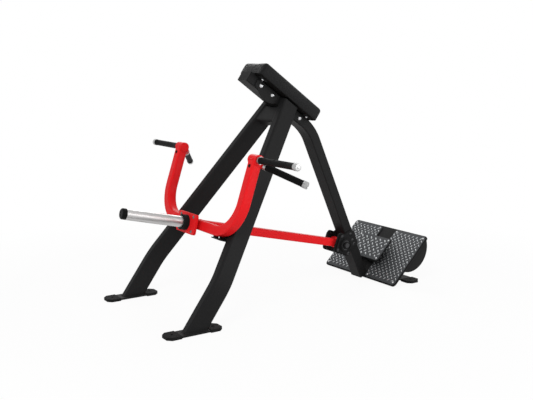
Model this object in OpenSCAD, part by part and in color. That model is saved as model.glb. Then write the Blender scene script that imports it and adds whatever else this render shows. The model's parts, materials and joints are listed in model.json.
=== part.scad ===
// Incline lever row, plate-loaded: a bent spine on two splayed legs carries the chest pad.
// A hinged lever with a U-shaped yoke carries four grips and a horn for weight plates.
// Millimetres, +Z up, +X towards the foot plate. The user faces -X, so left is -Y.

/* [Chest pad] */
// Length of the cushion along the slope
pad_len = 397; // [360:1:440]
// Width of the cushion
pad_w = 193; // [170:1:220]
// Height of the cushion's rim over the spine, board included
pad_t = 60; // [52:1:68]
// Rise of the cushion's crown over its rim
pad_crown = 6; // [3:0.5:9]
// Corner radius of the cushion in plan
pad_corner = 30; // [22:1:38]
// Slope of the pad below the horizontal, in degrees
pad_tilt = 35.5; // [33:0.5:38]
// Upper end of the pad's underside, along the machine
pad_x = -128.5; // [-140:0.5:-118]
// Upper end of the pad's underside, height over the floor
pad_z = 1065; // [1040:1:1090]
// Thickness of the plywood board
board_t = 12; // [9:1:15]
// Distance of the pad bolts from each end of the pad
ear_inset = 46; // [38:1:56]
// Half distance between the two pad bolts of a pair
ear_bolt_y = 61; // [56:1:68]

/* [Spine] */
// Width of the spine tube, across the machine
spine_w = 80; // [70:1:90]
// Depth of the spine tube
spine_d = 50; // [44:1:56]
// Wall of the spine tube
spine_wall = 4; // [3:0.5:5]
// Outer corner radius of the spine tube
spine_r = 6; // [5:0.5:8]
// Length of the spine beyond the pad's upper end
spine_over = 10; // [6:1:16]
// From the pad's upper end to the corner where the two straight runs would meet
spine_run = 431; // [415:1:445]
// Centreline radius of the spine's bend
spine_bend_r = 225; // [200:1:250]
// Lean of the rear strut from the vertical, in degrees
strut_lean = 24; // [22:0.5:26]

/* [Legs] */
// Width of a leg tube in its plane of lean
leg_w = 87; // [80:1:90]
// Thickness of a leg tube across the machine
leg_t = 45; // [40:1:50]
// Wall of a leg tube
leg_wall = 3; // [2.5:0.5:4]
// Outer corner radius of a leg tube
leg_r = 10; // [8:1:14]
// Leg centreline along the pad, from the pad's upper end
leg_s = 231; // [228:1:242]
// Half distance between the leg centrelines at the floor
leg_foot_y = 314; // [295:1:330]
// Straight run of a leg above the floor
leg_straight = 190; // [160:1:220]
// Centreline radius of the leg's bend
leg_bend_r = 297; // [260:1:330]
// Depth of the seat cut where a leg meets its saddle plate
leg_seat = 8; // [5:0.5:10]
// Height of the bridge tube between the legs
bridge_h = 83; // [74:1:94]
// Depth of the bridge tube
bridge_d = 52; // [46:1:60]

/* [Saddle plates] */
// Thickness of a saddle plate
saddle_t = 6; // [5:0.5:8]
// Upper end of a saddle plate, from the pad's upper end
saddle_s0 = 34; // [28:1:40]
// Lower end of a saddle plate, from the pad's upper end
saddle_s1 = 356; // [350:1:362]
// Radius of the left plate's round lower edge
lobe_r = 87; // [80:1:92]
// Centre of the round lower edge, from the pad's upper end
lobe_s = 118; // [112:1:122]
// Shank radius of the saddle bolts
saddle_bolt_r = 6; // [5:0.5:7]

/* [Feet] */
// Length of a front foot, boots included
foot_len = 259; // [245:1:275]
// Width of a foot, boots included
foot_w = 78; // [72:1:88]
// Thickness of a foot's steel plate
foot_t = 8; // [6:1:10]
// How far a front foot's middle lies ahead of its leg at the floor
foot_fore = 3; // [0:1:12]
// Length of a rubber boot
boot_len = 62; // [54:1:64]
// Rubber under and around the steel plate
boot_wall = 2.5; // [2:0.5:4]
// Radius of the floor bolt holes
foot_hole_r = 6; // [5:0.5:7]
// Distance of a floor bolt hole from the foot's end
foot_hole_in = 34; // [30:1:40]
// Length of the rear foot, boots included
rear_foot_len = 526; // [500:1:560]
// Middle of the rear foot, up the slope of the foot plate
rear_foot_s = 228; // [215:1:240]

/* [Pivot] */
// Height of the pivot over the floor
pivot_z = 198; // [185:1:210]
// Distance of the pivot from the strut's front face
pivot_stand = 33; // [31.5:0.5:36]
// Radius of the pivot shaft
shaft_r = 12.5; // [11:0.5:14]
// Running clearance between shaft and bearing, on the radius
shaft_play = 0.05; // [0.02:0.01:0.1]
// Outer radius of the lever's pivot sleeve
sleeve_r = 28.5; // [26:0.5:30]
// Thickness of a pivot ear
ear_t = 8; // [6:1:10]
// Side of the square front of a pivot ear
ear_side = 104; // [100:1:110]
// Thickness of a bearing housing's flange
flange_t = 10; // [8:1:12]
// Height of a bearing housing's boss over its flange
boss_h = 12; // [10:1:15]
// Outer radius of the insert bearing
bearing_r = 26; // [25:0.5:27]
// Distance of the housing bolts from the pivot axis
housing_bolt_r = 49.5; // [48:0.5:51]

/* [Lever] */
// Rise of the resting lever towards the front, in degrees
lever_rise = 13.1; // [12:0.1:14]
// Width of the lever tube
lever_w = 50; // [44:1:54]
// Height of the lever tube
lever_h = 40; // [36:1:43]
// Wall of the lever and yoke tubes
lever_wall = 3; // [2.5:0.5:4]
// Corner radius of the lever and yoke tubes
lever_r = 7; // [5:0.5:9]
// From the pivot to the yoke's cross run
yoke_pos = 843; // [842:1:850]
// Side of the square yoke tube
yoke_d = 45; // [44:0.5:46]
// Extra lean of the yoke against the lever, in degrees
yoke_lean = 4.9; // [4:0.1:6]
// Half distance between the yoke's arms
arm_y = 335; // [322:1:345]
// Height of the grip sockets over the cross run
yoke_h = 334; // [320:1:350]
// Centreline radius of the yoke's corners
yoke_bend_r = 147; // [125:1:160]
// Length of the stub ahead of the yoke
stub_len = 22; // [20:1:30]

/* [Weight horn] */
// Radius of the horn
horn_r = 25; // [24:0.1:25]
// Wall of the horn tube
horn_wall = 4; // [3:0.5:6]
// Length of the horn from flange to end cap
horn_len = 298; // [270:1:320]
// Thickness of the horn's end cap
horn_cap_t = 20; // [14:1:26]
// Width of the horn flange
hflange_w = 168; // [156:1:180]
// Height of the horn flange
hflange_h = 92; // [86:1:100]
// Thickness of the horn flange and of the stub's end plate
hflange_t = 6; // [5:0.5:8]
// Outer radius of the rubber collar
collar_r = 35; // [32:1:38]
// Length of the rubber collar
collar_len = 25; // [20:1:30]

/* [Grips] */
// Outer radius of a grip socket
socket_r = 22.5; // [21:0.5:24]
// Length of a grip socket
socket_len = 58; // [54:1:66]
// Radius of the steel grip cores
core_r = 11; // [10:0.5:12]
// Outer radius of the rubber grips
grip_r = 15; // [14:0.5:16.5]
// Length of an outer grip
grip_len = 244; // [225:1:260]
// Length of an angled grip
angled_len = 176; // [162:1:188]
// Length of an aluminium end cap
grip_cap_len = 21; // [17:1:25]
// Length of an aluminium ring
grip_ring_len = 11; // [8:1:14]
// Swing of the angled grips away from straight back, in degrees
angled_out = 52; // [48:1:56]
// Drop of the angled grips, in degrees
angled_drop = 10; // [7:1:13]

/* [Lever rest] */
// Inner end of a rest bracket, from the middle of the machine
rest_y = 174; // [170:1:178]
// Thickness of a rest bracket's plates
rest_t = 5; // [4:0.5:6]
// Height of a rubber buffer
buffer_h = 7; // [6:1:10]
// Radius of a rubber buffer
buffer_r = 12; // [10:1:13]
// Air between the resting lever and its buffers
rest_gap = 0.4; // [0.3:0.1:1]

/* [Foot plate] */
// Slope of the foot plate, in degrees
plate_tilt = 45; // [43:0.5:47]
// Length of the foot plate up the slope
plate_len = 321; // [310:1:335]
// Width of the foot plate
plate_w = 558; // [540:1:576]
// Thickness of the foot plate
plate_t = 6; // [5:0.5:8]
// Height of the plate's lower edge over the floor
plate_z = 9; // [8:0.5:12]
// How far the plate's lower edge lies ahead of the strut's middle at the floor
plate_toe = 16; // [12:1:20]
// Width of the bare strip between the two treads
tread_gap = 106; // [98:1:114]
// Thickness of a tread plate
tread_t = 5; // [4:0.5:6]
// Lower edge of the upper step, up the slope
step_s = 85; // [80:1:92]
// Length of the upper step up the slope
step_len = 142; // [134:1:150]
// Width of the upper step
step_w = 240; // [225:1:255]
// Height of the step's tread over the foot plate
step_h = 54; // [48:1:60]
// Radius of the round cheeks under the plate
gusset_r = 117.6; // [112:0.2:122]
// Thickness of a cheek
gusset_t = 8; // [6:1:10]

/* [Hidden] */
$fn = 64;
big = 2000;
fit = 0.1;
bend_lap = 1;
bend_step = 0.05;
corner_x = pad_x + spine_run * cos(pad_tilt) - spine_d / 2 * sin(pad_tilt);
corner_z = pad_z - spine_run * sin(pad_tilt) - spine_d / 2 * cos(pad_tilt);
spine_turn = 90 - strut_lean - pad_tilt;
spine_tan = spine_bend_r * tan(spine_turn / 2);
strut_len = corner_z / cos(strut_lean) - spine_tan + spine_d;
strut_gap = 3;
function strut_x(z) = corner_x + (corner_z - z) * tan(strut_lean);
pivot_x = strut_x(pivot_z) - (spine_d / 2 + pivot_stand) / cos(strut_lean);
plate_x = strut_x(0) - plate_toe;

saddle_y = spine_w / 2 + saddle_t;
saddle_top = spine_r + 2;
saddle_low = spine_d - 4;
saddle_corner = 12;
lobe_rise = 17;
saddle_bolts_s = [66, 142, 332];
board_rim = 6;
ear_len = 40;
ear_plate_t = 6;
ear_y = ear_bolt_y + 14;
pad_bolt_r = 4;

leg_top = 8;
foot_top = boot_wall + foot_t;
foot_cut = 16;
leg_reach = (pad_z - leg_s * sin(pad_tilt)) / cos(pad_tilt);
leg_top_y = saddle_y + leg_t / 2 - leg_seat;
leg_rise = leg_reach - leg_straight - leg_top;
leg_in = leg_foot_y - leg_top_y;
leg_diag = norm([leg_rise, leg_bend_r - leg_in]);
leg_splay = asin(leg_bend_r / leg_diag) - atan2(leg_bend_r - leg_in, leg_rise);
leg_upper = (leg_rise - leg_bend_r * sin(leg_splay)) / cos(leg_splay);
leg_x = pad_x + leg_s * cos(pad_tilt) - leg_reach * sin(pad_tilt);
function leg_y(drop) = leg_top_y + (drop - leg_top) * tan(leg_splay);
bridge_s = leg_s - leg_w / 2 + 5;
bridge_half = leg_y(spine_d + bridge_h / 2);

ear_gap = 1;
sleeve_half = spine_w / 2 - ear_gap;
ear_out = spine_w / 2 + ear_t;
boss_r = bearing_r + 7;
bearing_in = ear_out + 2;
bearing_w = flange_t + boss_h - 6;
shaft_half = ear_out + flange_t + boss_h + 6;
housing_side = ear_side - 12;
strut_mid = pivot_stand + spine_d / 2;
strut_bolt_z = 29;
strut_bolt_edge = 17;
ear_corner = 16;
housing_bolt_shank = 5;

stub_end = yoke_pos + yoke_d / 2 + stub_len;
horn_base = stub_end + 2 * hflange_t;
horn_gap = 0.5;
horn_step = 1;
horn_root = collar_len + horn_gap;
hbolt_in = 13;
hbolt_r = 4;
hbolt_y = hflange_w / 2 - 2 * hbolt_in;
hbolt_z = hflange_h / 2 - hbolt_in;
arm_len = yoke_h - yoke_bend_r;
cross_half = arm_y - yoke_bend_r;
socket_out = arm_y + socket_len / 2;
socket_wall = 20;
ring_r = grip_r + 2;
cap_r = grip_r + 1;
boss_len = 24;
boss_out_r = 15;
angled_root_z = yoke_h - 12;
screw_z = yoke_h - socket_r - 9;
screw_r = 4.5;

rest_out = leg_y(leg_reach * 0.6);
rest_top = yoke_d / 2 + rest_gap + buffer_h;
rest_back = yoke_d / 2 + 4;
rest_edge = 2;
rest_fore = buffer_r + rest_edge;
yoke_x = pivot_x - yoke_pos * cos(lever_rise);
yoke_z = pivot_z + yoke_pos * sin(lever_rise);
rest_rear = leg_x + yoke_z * tan(pad_tilt) - yoke_x;
rest_lip = yoke_d / 2 + 7;

tread_w = (plate_w - tread_gap) / 2 - 6;
tread_y = tread_gap / 2 + tread_w / 2;
tread_len = plate_len - 12;
tread_in = 13;
tread_bolt_r = 3;
step_base = step_h - tread_t - plate_t;
step_lip = 19;
riser_w = 80;
riser_s = 92;
riser_wall = 3;
gusset_s = 206;
gusset_rise = 38;
gusset_y = plate_w / 2 - 22;
rear_foot_x = plate_x + rear_foot_s * cos(plate_tilt);
post_w = 80;
post_d = 60;
post_wall = 3;

// Frames

// Origin at the upper end of the pad's underside, x down the pad, z out of it
module pad_frame() {
    translate([pad_x, 0, pad_z])
        rotate([0, pad_tilt, 0])
            children();
}

// Origin on the pivot axis, x through the strut to the rear, z up the strut
module strut_frame() {
    translate([pivot_x, 0, pivot_z])
        rotate([0, -strut_lean, 0])
            children();
}

// Origin on the pivot axis, the lever along -x
module lever_frame() {
    translate([pivot_x, 0, pivot_z])
        rotate([0, lever_rise, 0])
            children();
}

// Origin in the middle of the yoke's cross run, z up the arms
module yoke_frame() {
    lever_frame()
        translate([-yoke_pos, 0, 0])
            rotate([0, yoke_lean, 0])
                children();
}

// Origin at the lower edge of the foot plate, x up the slope, z out of it
module plate_frame() {
    translate([plate_x, 0, plate_z])
        rotate([0, -plate_tilt, 0])
            children();
}

// Origin on the axis of the right angled grip, z along it
module angled_frame() {
    yoke_frame()
        translate([yoke_d / 2, arm_y, angled_root_z])
            rotate([0, 90 + angled_drop, angled_out])
                children();
}

// Left copy of what is drawn on the right
module left_side() {
    mirror([0, 1, 0])
        children();
}

// Copies on both sides
module both_sides() {
    children();
    mirror([0, 1, 0])
        children();
}

// Shared shapes

module rounded(w, h, r) {
    square([w - 2 * r, h], center = true);
    square([w, h - 2 * r], center = true);
    for (i = [-1, 1], j = [-1, 1])
        translate([i * (w / 2 - r), j * (h / 2 - r)])
            circle(r);
}

// Tube section, or a solid bar where wall is 0
module section(w, h, r, wall) {
    difference() {
        rounded(w, h, r);
        if (wall > 0)
            rounded(w - 2 * wall, h - 2 * wall, r - wall);
    }
}

// Straight tube along +x, d in z and w in y
module run(len, d, w, r, wall) {
    rotate([0, 90, 0])
        linear_extrude(len)
            section(d, w, r, wall);
}

// Tube along +x that turns towards -z after l1 and goes straight on for l2.
// The bend is thinner by a hair and the straight runs reach into it.
module bent_tube(l1, bend_r, turn, l2, d, w, r, wall) {
    if (l1 > 0)
        run(l1 + bend_lap, d, w, r, wall);
    translate([l1, 0, -bend_r])
        rotate([0, -90, -90])
            rotate_extrude(angle = turn)
                translate([bend_r, 0])
                    section(d - 2 * bend_step, w - 2 * bend_step, r - bend_step, wall);
    translate([l1 + bend_r * sin(turn), 0, bend_r * (cos(turn) - 1)])
        rotate([0, turn, 0])
            translate([-bend_lap, 0, 0])
                run(l2 + bend_lap, d, w, r, wall);
}

// Plate in the XZ plane that fills y0 to y0 + t
module y_plate(y0, t) {
    translate([0, y0 + t, 0])
        rotate([90, 0, 0])
            linear_extrude(t)
                children();
}

// Cylinder along +y from y0 to y1
module y_bar(y0, y1, r) {
    translate([0, y0, 0])
        rotate([-90, 0, 0])
            cylinder(h = y1 - y0, r = r);
}

// Ring along +z
module ring(h, r, bore) {
    difference() {
        cylinder(h = h, r = r);
        translate([0, 0, -1])
            cylinder(h = h + 2, r = bore);
    }
}

// Domed bolt, head on +z, shank down -z, hexagon socket in the head
module dome_bolt(shank_r, shank_len) {
    head_r = shank_r * 1.85;
    head_h = shank_r * 1.1;
    cap_r = (head_r * head_r + head_h * head_h) / (2 * head_h);
    translate([0, 0, -shank_len])
        cylinder(h = shank_len, r = shank_r);
    difference() {
        rotate_extrude()
            intersection() {
                translate([0, head_h - cap_r])
                    circle(cap_r);
                square([head_r, head_h]);
            }
        translate([0, 0, head_h * 0.45])
            cylinder(h = head_h, r = shank_r * 0.62, $fn = 6);
    }
}

// Hexagon nut with its seat at z = 0, body down -z
module hex_nut(shank_r) {
    nut_h = shank_r * 1.6;
    translate([0, 0, -nut_h])
        difference() {
            cylinder(h = nut_h, r = shank_r * 1.95, $fn = 6);
            translate([0, 0, -1])
                cylinder(h = nut_h + 2, r = shank_r + fit);
        }
}

// Spine

module spine_body(wall) {
    pad_frame()
        translate([-spine_over, 0, -spine_d / 2])
            bent_tube(spine_over + spine_run - spine_tan, spine_bend_r, spine_turn,
                strut_len, spine_d, spine_w, spine_r, wall);
}

module spine() {
    color([0.16, 0.16, 0.165])
        difference() {
            spine_body(spine_wall);
            translate([-big / 2, -big / 2, strut_gap - big])
                cube(big);
            plate_frame()
                translate([-big / 2, -big / 2, -big])
                    cube(big);
            pad_frame()
                for (s = saddle_bolts_s)
                    translate([s, 0, -spine_d / 2])
                        y_bar(-spine_w, spine_w, saddle_bolt_r + fit);
            strut_frame()
                strut_holes();
        }
}

// Threaded holes of the pivot ears and the housings in the strut
module strut_holes() {
    translate([housing_bolt_r, 0, 0])
        y_bar(-spine_w, spine_w, housing_bolt_shank + fit);
    for (z = [-1, 1])
        translate([strut_mid, 0, z * strut_bolt_z])
            y_bar(-spine_w, spine_w, housing_bolt_shank + fit);
}

module spine_end_cap() {
    lip = 3;
    plug = 18;
    color([0.07, 0.07, 0.07])
        pad_frame()
            translate([-spine_over, 0, -spine_d / 2]) {
                translate([-lip, 0, 0])
                    run(lip, spine_d, spine_w, spine_r, 0);
                run(plug, spine_d - 2 * spine_wall, spine_w - 2 * spine_wall,
                    spine_r - spine_wall, 0);
            }
}

// Legs

module leg_body(wall) {
    pad_frame()
        translate([leg_s, leg_foot_y, -leg_reach - leg_w])
            rotate([0, -90, -90])
                bent_tube(leg_straight + leg_w, leg_bend_r, leg_splay,
                    leg_upper + leg_t, leg_t, leg_w, leg_r, wall);
}

module right_leg_shape() {
    color([0.16, 0.16, 0.165])
        difference() {
            leg_body(leg_wall);
            translate([-big / 2, -big / 2, foot_top - big])
                cube(big);
            pad_frame()
                translate([-big / 2, -big / 2, -leg_top])
                    cube(big);
            pad_frame()
                translate([-big / 2, saddle_y - big, -big / 2])
                    cube(big);
        }
}

module right_leg() {
    right_leg_shape();
}

module left_leg() {
    left_side()
        right_leg_shape();
}

module leg_bridge() {
    color([0.16, 0.16, 0.165])
        difference() {
            pad_frame()
                translate([bridge_s + bridge_d / 2, 0, -spine_d - bridge_h / 2])
                    rotate([90, 0, 0])
                        linear_extrude(2 * bridge_half, center = true)
                            section(bridge_d, bridge_h, leg_r, leg_wall);
            both_sides()
                leg_body(0);
        }
}

// Saddle plates

module saddle_outline() {
    translate([(saddle_s0 + saddle_s1) / 2, -(saddle_top + saddle_low) / 2])
        rounded(saddle_s1 - saddle_s0, saddle_low - saddle_top, saddle_corner);
}

// Round lower edge under the plate's upper half
module saddle_lobe() {
    difference() {
        translate([lobe_s, lobe_rise])
            circle(lobe_r);
        translate([lobe_s - lobe_r, -saddle_top - saddle_corner])
            square(2 * lobe_r);
    }
}

// Plate on the spine's right side with the outline that is given
module saddle_plate() {
    color([0.17, 0.17, 0.175])
        pad_frame()
            difference() {
                y_plate(spine_w / 2, saddle_t)
                    children();
                for (s = saddle_bolts_s)
                    translate([s, 0, -spine_d / 2])
                        y_bar(0, spine_w, saddle_bolt_r + fit);
            }
}

module right_saddle_plate() {
    saddle_plate()
        saddle_outline();
}

module left_saddle_plate() {
    left_side()
        saddle_plate()
            union() {
                saddle_outline();
                saddle_lobe();
            }
}

module saddle_bolts() {
    color([0.72, 0.72, 0.74])
        pad_frame()
            for (s = saddle_bolts_s)
                translate([s, 0, -spine_d / 2]) {
                    translate([0, -saddle_y, 0])
                        rotate([90, 0, 0])
                            dome_bolt(saddle_bolt_r, 2 * saddle_y + 2 * saddle_bolt_r);
                    translate([0, saddle_y, 0])
                        rotate([90, 0, 0])
                            hex_nut(saddle_bolt_r);
                }
}

// Feet

// Outline of a foot along x with cut corners
module foot_outline(len, w, cut) {
    square([len - 2 * cut, w], center = true);
    polygon([
        [-len / 2, -w / 2 + cut], [-len / 2 + cut, -w / 2],
        [-len / 2 + cut, w / 2], [-len / 2, w / 2 - cut]
    ]);
    polygon([
        [len / 2, -w / 2 + cut], [len / 2, w / 2 - cut],
        [len / 2 - cut, w / 2], [len / 2 - cut, -w / 2]
    ]);
}

module foot_holes(len) {
    for (i = [-1, 1])
        translate([i * (len / 2 - foot_hole_in), 0, -1])
            cylinder(h = foot_top + boot_wall + 2, r = foot_hole_r);
}

module foot_bar(len) {
    difference() {
        translate([0, 0, boot_wall])
            linear_extrude(foot_t)
                foot_outline(len - 2 * boot_wall, foot_w - 2 * boot_wall, foot_cut);
        foot_holes(len);
    }
}

module foot_boots(len) {
    difference() {
        linear_extrude(foot_top + boot_wall)
            difference() {
                foot_outline(len, foot_w, foot_cut + boot_wall);
                square([len - 2 * boot_len, 2 * foot_w], center = true);
            }
        translate([0, 0, boot_wall])
            linear_extrude(foot_t)
                foot_outline(len - 2 * boot_wall, foot_w - 2 * boot_wall, foot_cut);
        foot_holes(len);
    }
}

module right_foot_plate() {
    color([0.15, 0.15, 0.155])
        translate([leg_x - foot_fore, leg_foot_y, 0])
            foot_bar(foot_len);
}

module left_foot_plate() {
    color([0.15, 0.15, 0.155])
        translate([leg_x - foot_fore, -leg_foot_y, 0])
            foot_bar(foot_len);
}

module front_foot_boots() {
    color([0.06, 0.06, 0.06])
        both_sides()
            translate([leg_x - foot_fore, leg_foot_y, 0])
                foot_boots(foot_len);
}

module rear_foot_bar() {
    color([0.15, 0.15, 0.155])
        translate([rear_foot_x, 0, 0])
            rotate([0, 0, 90])
                foot_bar(rear_foot_len);
}

module rear_foot_boots() {
    color([0.06, 0.06, 0.06])
        translate([rear_foot_x, 0, 0])
            rotate([0, 0, 90])
                foot_boots(rear_foot_len);
}

// Chest pad

module pad_ears() {
    color([0.16, 0.16, 0.165])
        difference() {
            pad_frame()
                both_sides()
                    for (s = [ear_inset, pad_len - ear_inset])
                        difference() {
                            translate([s, ear_y / 2, -ear_plate_t / 2])
                                cube([ear_len, ear_y, ear_plate_t], center = true);
                            translate([s, ear_bolt_y, -ear_plate_t - 1])
                                cylinder(h = ear_plate_t + 2, r = pad_bolt_r + fit);
                        }
            spine_body(0);
        }
}

module board_outline(rim) {
    rounded(pad_len - 2 * rim, pad_w - 2 * rim, pad_corner - rim);
}

module pad_board() {
    color([0.1, 0.1, 0.1])
        pad_frame()
            translate([pad_len / 2, 0, 0])
                difference() {
                    linear_extrude(board_t)
                        board_outline(board_rim);
                    for (i = [-1, 1], j = [-1, 1])
                        translate([i * (pad_len / 2 - ear_inset), j * ear_bolt_y, -1])
                            cylinder(h = board_t + 2, r = pad_bolt_r + fit);
                }
}

module pad_bolts() {
    color([0.72, 0.72, 0.74])
        pad_frame()
            for (s = [ear_inset, pad_len - ear_inset], j = [-1, 1])
                translate([s, j * ear_bolt_y, -ear_plate_t])
                    rotate([180, 0, 0])
                        dome_bolt(pad_bolt_r, ear_plate_t + board_t - 1);
}

// Plan outline of the cushion, drawn in by inset, at height z
pad_steps = 6;
function pad_ring(inset, z) = [
    for (c = [0:3], j = [0:pad_steps])
        let (
            turn = 90 * (c + j / pad_steps),
            r = pad_corner - inset * 0.6,
            ex = (c == 0 || c == 3) ? 1 : -1,
            ey = (c < 2) ? 1 : -1
        )
        [
            ex * (pad_len / 2 - inset - r) + r * cos(turn),
            ey * (pad_w / 2 - inset - r) + r * sin(turn),
            z
        ]
];

// Ring of the crowned top at the share f of the way from the middle
function pad_top_ring(f, edge, z) = [
    for (p = pad_ring(edge, z))
        [p[0] * f, p[1] * f, z + pad_crown * (1 - f * f)]
];

module chest_pad() {
    edge = 15;
    rings = [
        pad_ring(3, 0),
        pad_ring(0.8, pad_t * 0.1),
        pad_ring(0, pad_t * 0.3),
        pad_ring(0, pad_t * 0.6),
        pad_ring(0.8, pad_t * 0.73),
        pad_ring(3, pad_t * 0.85),
        pad_ring(7.5, pad_t * 0.95),
        pad_ring(edge, pad_t),
        pad_top_ring(0.8, edge, pad_t),
        pad_top_ring(0.55, edge, pad_t),
        pad_top_ring(0.28, edge, pad_t)
    ];
    count = 4 * (pad_steps + 1);
    last = len(rings) - 1;
    points = concat([for (r = rings, p = r) p], [[0, 0, pad_t + pad_crown]]);
    base = [for (j = [1:count - 2]) [0, j, j + 1]];
    walls = [
        for (i = [0:last - 1], j = [0:count - 1])
            let (a = i * count + j, b = i * count + (j + 1) % count)
            each [[a, a + count, b + count], [a, b + count, b]]
    ];
    crown = [
        for (j = [0:count - 1])
            [last * count + j, len(points) - 1, last * count + (j + 1) % count]
    ];
    color([0.05, 0.05, 0.052])
        pad_frame()
            translate([pad_len / 2, 0, 0])
                difference() {
                    polyhedron(points, concat(base, walls, crown));
                    translate([0, 0, -1])
                        linear_extrude(board_t + 1)
                            board_outline(board_rim - fit);
                }
}

// Lever rest

module right_rest_shape() {
    color([0.16, 0.16, 0.165])
        difference() {
            yoke_frame() {
                translate([-rest_fore, rest_y, -rest_top - rest_t])
                    cube([rest_fore + rest_rear, rest_out - rest_y, rest_t]);
                translate([rest_back, rest_y, -rest_top])
                    cube([rest_t, rest_out - rest_y, rest_top + rest_lip]);
            }
            leg_body(0);
        }
}

module right_rest_bracket() {
    right_rest_shape();
}

module left_rest_bracket() {
    left_side()
        right_rest_shape();
}

module rest_buffers() {
    color([0.05, 0.05, 0.05])
        yoke_frame()
            both_sides()
                translate([0, rest_y + buffer_r + rest_edge, -rest_top])
                    cylinder(h = buffer_h, r = buffer_r);
}

// Pivot

module pivot_ear_outline() {
    rotate(45)
        rounded(ear_side, ear_side, ear_corner);
    translate([(pivot_stand + spine_d) / 2, 0])
        rounded(pivot_stand + spine_d, 2 * (strut_bolt_z + strut_bolt_edge), ear_corner);
}

module right_ear_shape() {
    color([0.16, 0.16, 0.165])
        strut_frame()
            difference() {
                y_plate(spine_w / 2, ear_t)
                    pivot_ear_outline();
                y_bar(0, spine_w, shaft_r + 7);
                housing_bolt_places()
                    y_bar(0, spine_w, housing_bolt_shank + fit);
                strut_bolt_places()
                    y_bar(0, spine_w, housing_bolt_shank + fit);
            }
}

module right_pivot_ear() {
    right_ear_shape();
}

module left_pivot_ear() {
    left_side()
        right_ear_shape();
}

module housing_bolt_places() {
    for (turn = [0:90:270])
        rotate([0, turn, 0])
            translate([housing_bolt_r, 0, 0])
                children();
}

module strut_bolt_places() {
    for (i = [-1, 1])
        translate([strut_mid, 0, i * strut_bolt_z])
            children();
}

module right_housing_shape() {
    color([0.09, 0.09, 0.095])
        strut_frame()
            difference() {
                union() {
                    y_plate(ear_out, flange_t)
                        rotate(45)
                            rounded(housing_side, housing_side, ear_corner);
                    y_bar(ear_out, ear_out + flange_t + boss_h, boss_r);
                }
                y_bar(0, big, bearing_r);
                housing_bolt_places()
                    y_bar(0, big, housing_bolt_shank + fit);
            }
}

module right_bearing_housing() {
    right_housing_shape();
}

module left_bearing_housing() {
    left_side()
        right_housing_shape();
}

module pivot_bearings() {
    color([0.45, 0.45, 0.46])
        strut_frame()
            both_sides()
                translate([0, bearing_in, 0])
                    rotate([-90, 0, 0])
                        ring(bearing_w, bearing_r, shaft_r + shaft_play);
}

module bearing_bolts() {
    shank = housing_bolt_shank;
    color([0.2, 0.2, 0.21])
        strut_frame()
            both_sides() {
                housing_bolt_places()
                    translate([0, ear_out + flange_t, 0])
                        rotate([-90, 0, 0])
                            dome_bolt(shank, flange_t + ear_t + spine_wall);
                strut_bolt_places()
                    translate([0, ear_out, 0])
                        rotate([-90, 0, 0])
                            dome_bolt(shank, ear_t + spine_wall);
                for (turn = [90:90:270])
                    rotate([0, turn, 0])
                        translate([housing_bolt_r, spine_w / 2, 0])
                            rotate([-90, 0, 0])
                                hex_nut(shank);
            }
}

module pivot_shaft() {
    color([0.6, 0.6, 0.62])
        lever_frame()
            y_bar(-shaft_half, shaft_half, shaft_r);
}

module shaft_collars() {
    start = bearing_in + bearing_w + 0.5;
    color([0.2, 0.2, 0.21])
        lever_frame()
            both_sides()
                translate([0, start, 0])
                    rotate([-90, 0, 0])
                        ring(shaft_half - 2 - start, shaft_r + 6, shaft_r);
}

// Lever

module pivot_sleeve() {
    color([0.8, 0.06, 0.08])
        lever_frame()
            translate([0, -sleeve_half, 0])
                rotate([-90, 0, 0])
                    ring(2 * sleeve_half, sleeve_r, shaft_r);
}

// Space of the yoke's cross run, for the cut ends of the lever and the stub
module cross_space() {
    yoke_frame()
        cube([yoke_d, 2 * cross_half, 2 * yoke_d], center = true);
}

module lever_tube() {
    color([0.8, 0.06, 0.08])
        difference() {
            lever_frame()
                translate([-yoke_pos, 0, 0])
                    run(yoke_pos, lever_h, lever_w, lever_r, lever_wall);
            cross_space();
            lever_frame()
                y_bar(-spine_w, spine_w, sleeve_r);
        }
}

module lever_stub() {
    color([0.8, 0.06, 0.08])
        difference() {
            lever_frame()
                translate([-stub_end, 0, 0])
                    run(stub_end - yoke_pos, lever_h, lever_w, lever_r, lever_wall);
            cross_space();
        }
}

module yoke_corner() {
    translate([0, cross_half, 0])
        rotate([180, 0, 90])
            bent_tube(0, yoke_bend_r, 90, arm_len, yoke_d, yoke_d, lever_r, lever_wall);
}

module yoke_tube() {
    color([0.8, 0.06, 0.08])
        yoke_frame()
            difference() {
                union() {
                    translate([0, -cross_half - bend_lap, 0])
                        rotate([0, 0, 90])
                            run(2 * (cross_half + bend_lap), yoke_d, yoke_d, lever_r, lever_wall);
                    both_sides()
                        yoke_corner();
                }
                translate([0, 0, yoke_h])
                    y_bar(-big / 2, big / 2, socket_r);
                both_sides()
                    translate([-yoke_d, arm_y, screw_z])
                        rotate([0, 90, 0])
                            cylinder(h = yoke_d, r = screw_r + fit);
            }
}

module socket_screws() {
    color([0.1, 0.1, 0.1])
        yoke_frame()
            both_sides()
                translate([-yoke_d / 2, arm_y, screw_z])
                    rotate([0, -90, 0])
                        dome_bolt(screw_r, 2 * screw_r);
}

// Weight horn

module end_plate(front, t) {
    lever_frame()
        translate([-front, 0, 0])
            rotate([0, 90, 0])
                linear_extrude(t)
                    difference() {
                        rounded(hflange_h, hflange_w, 12);
                        for (i = [-1, 1], j = [-1, 1])
                            translate([i * hbolt_z, j * hbolt_y])
                                circle(hbolt_r + fit);
                    }
}

module stub_end_plate() {
    color([0.8, 0.06, 0.08])
        end_plate(stub_end + hflange_t, hflange_t);
}

module horn_flange() {
    color([0.8, 0.06, 0.08])
        end_plate(horn_base, hflange_t);
}

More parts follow.
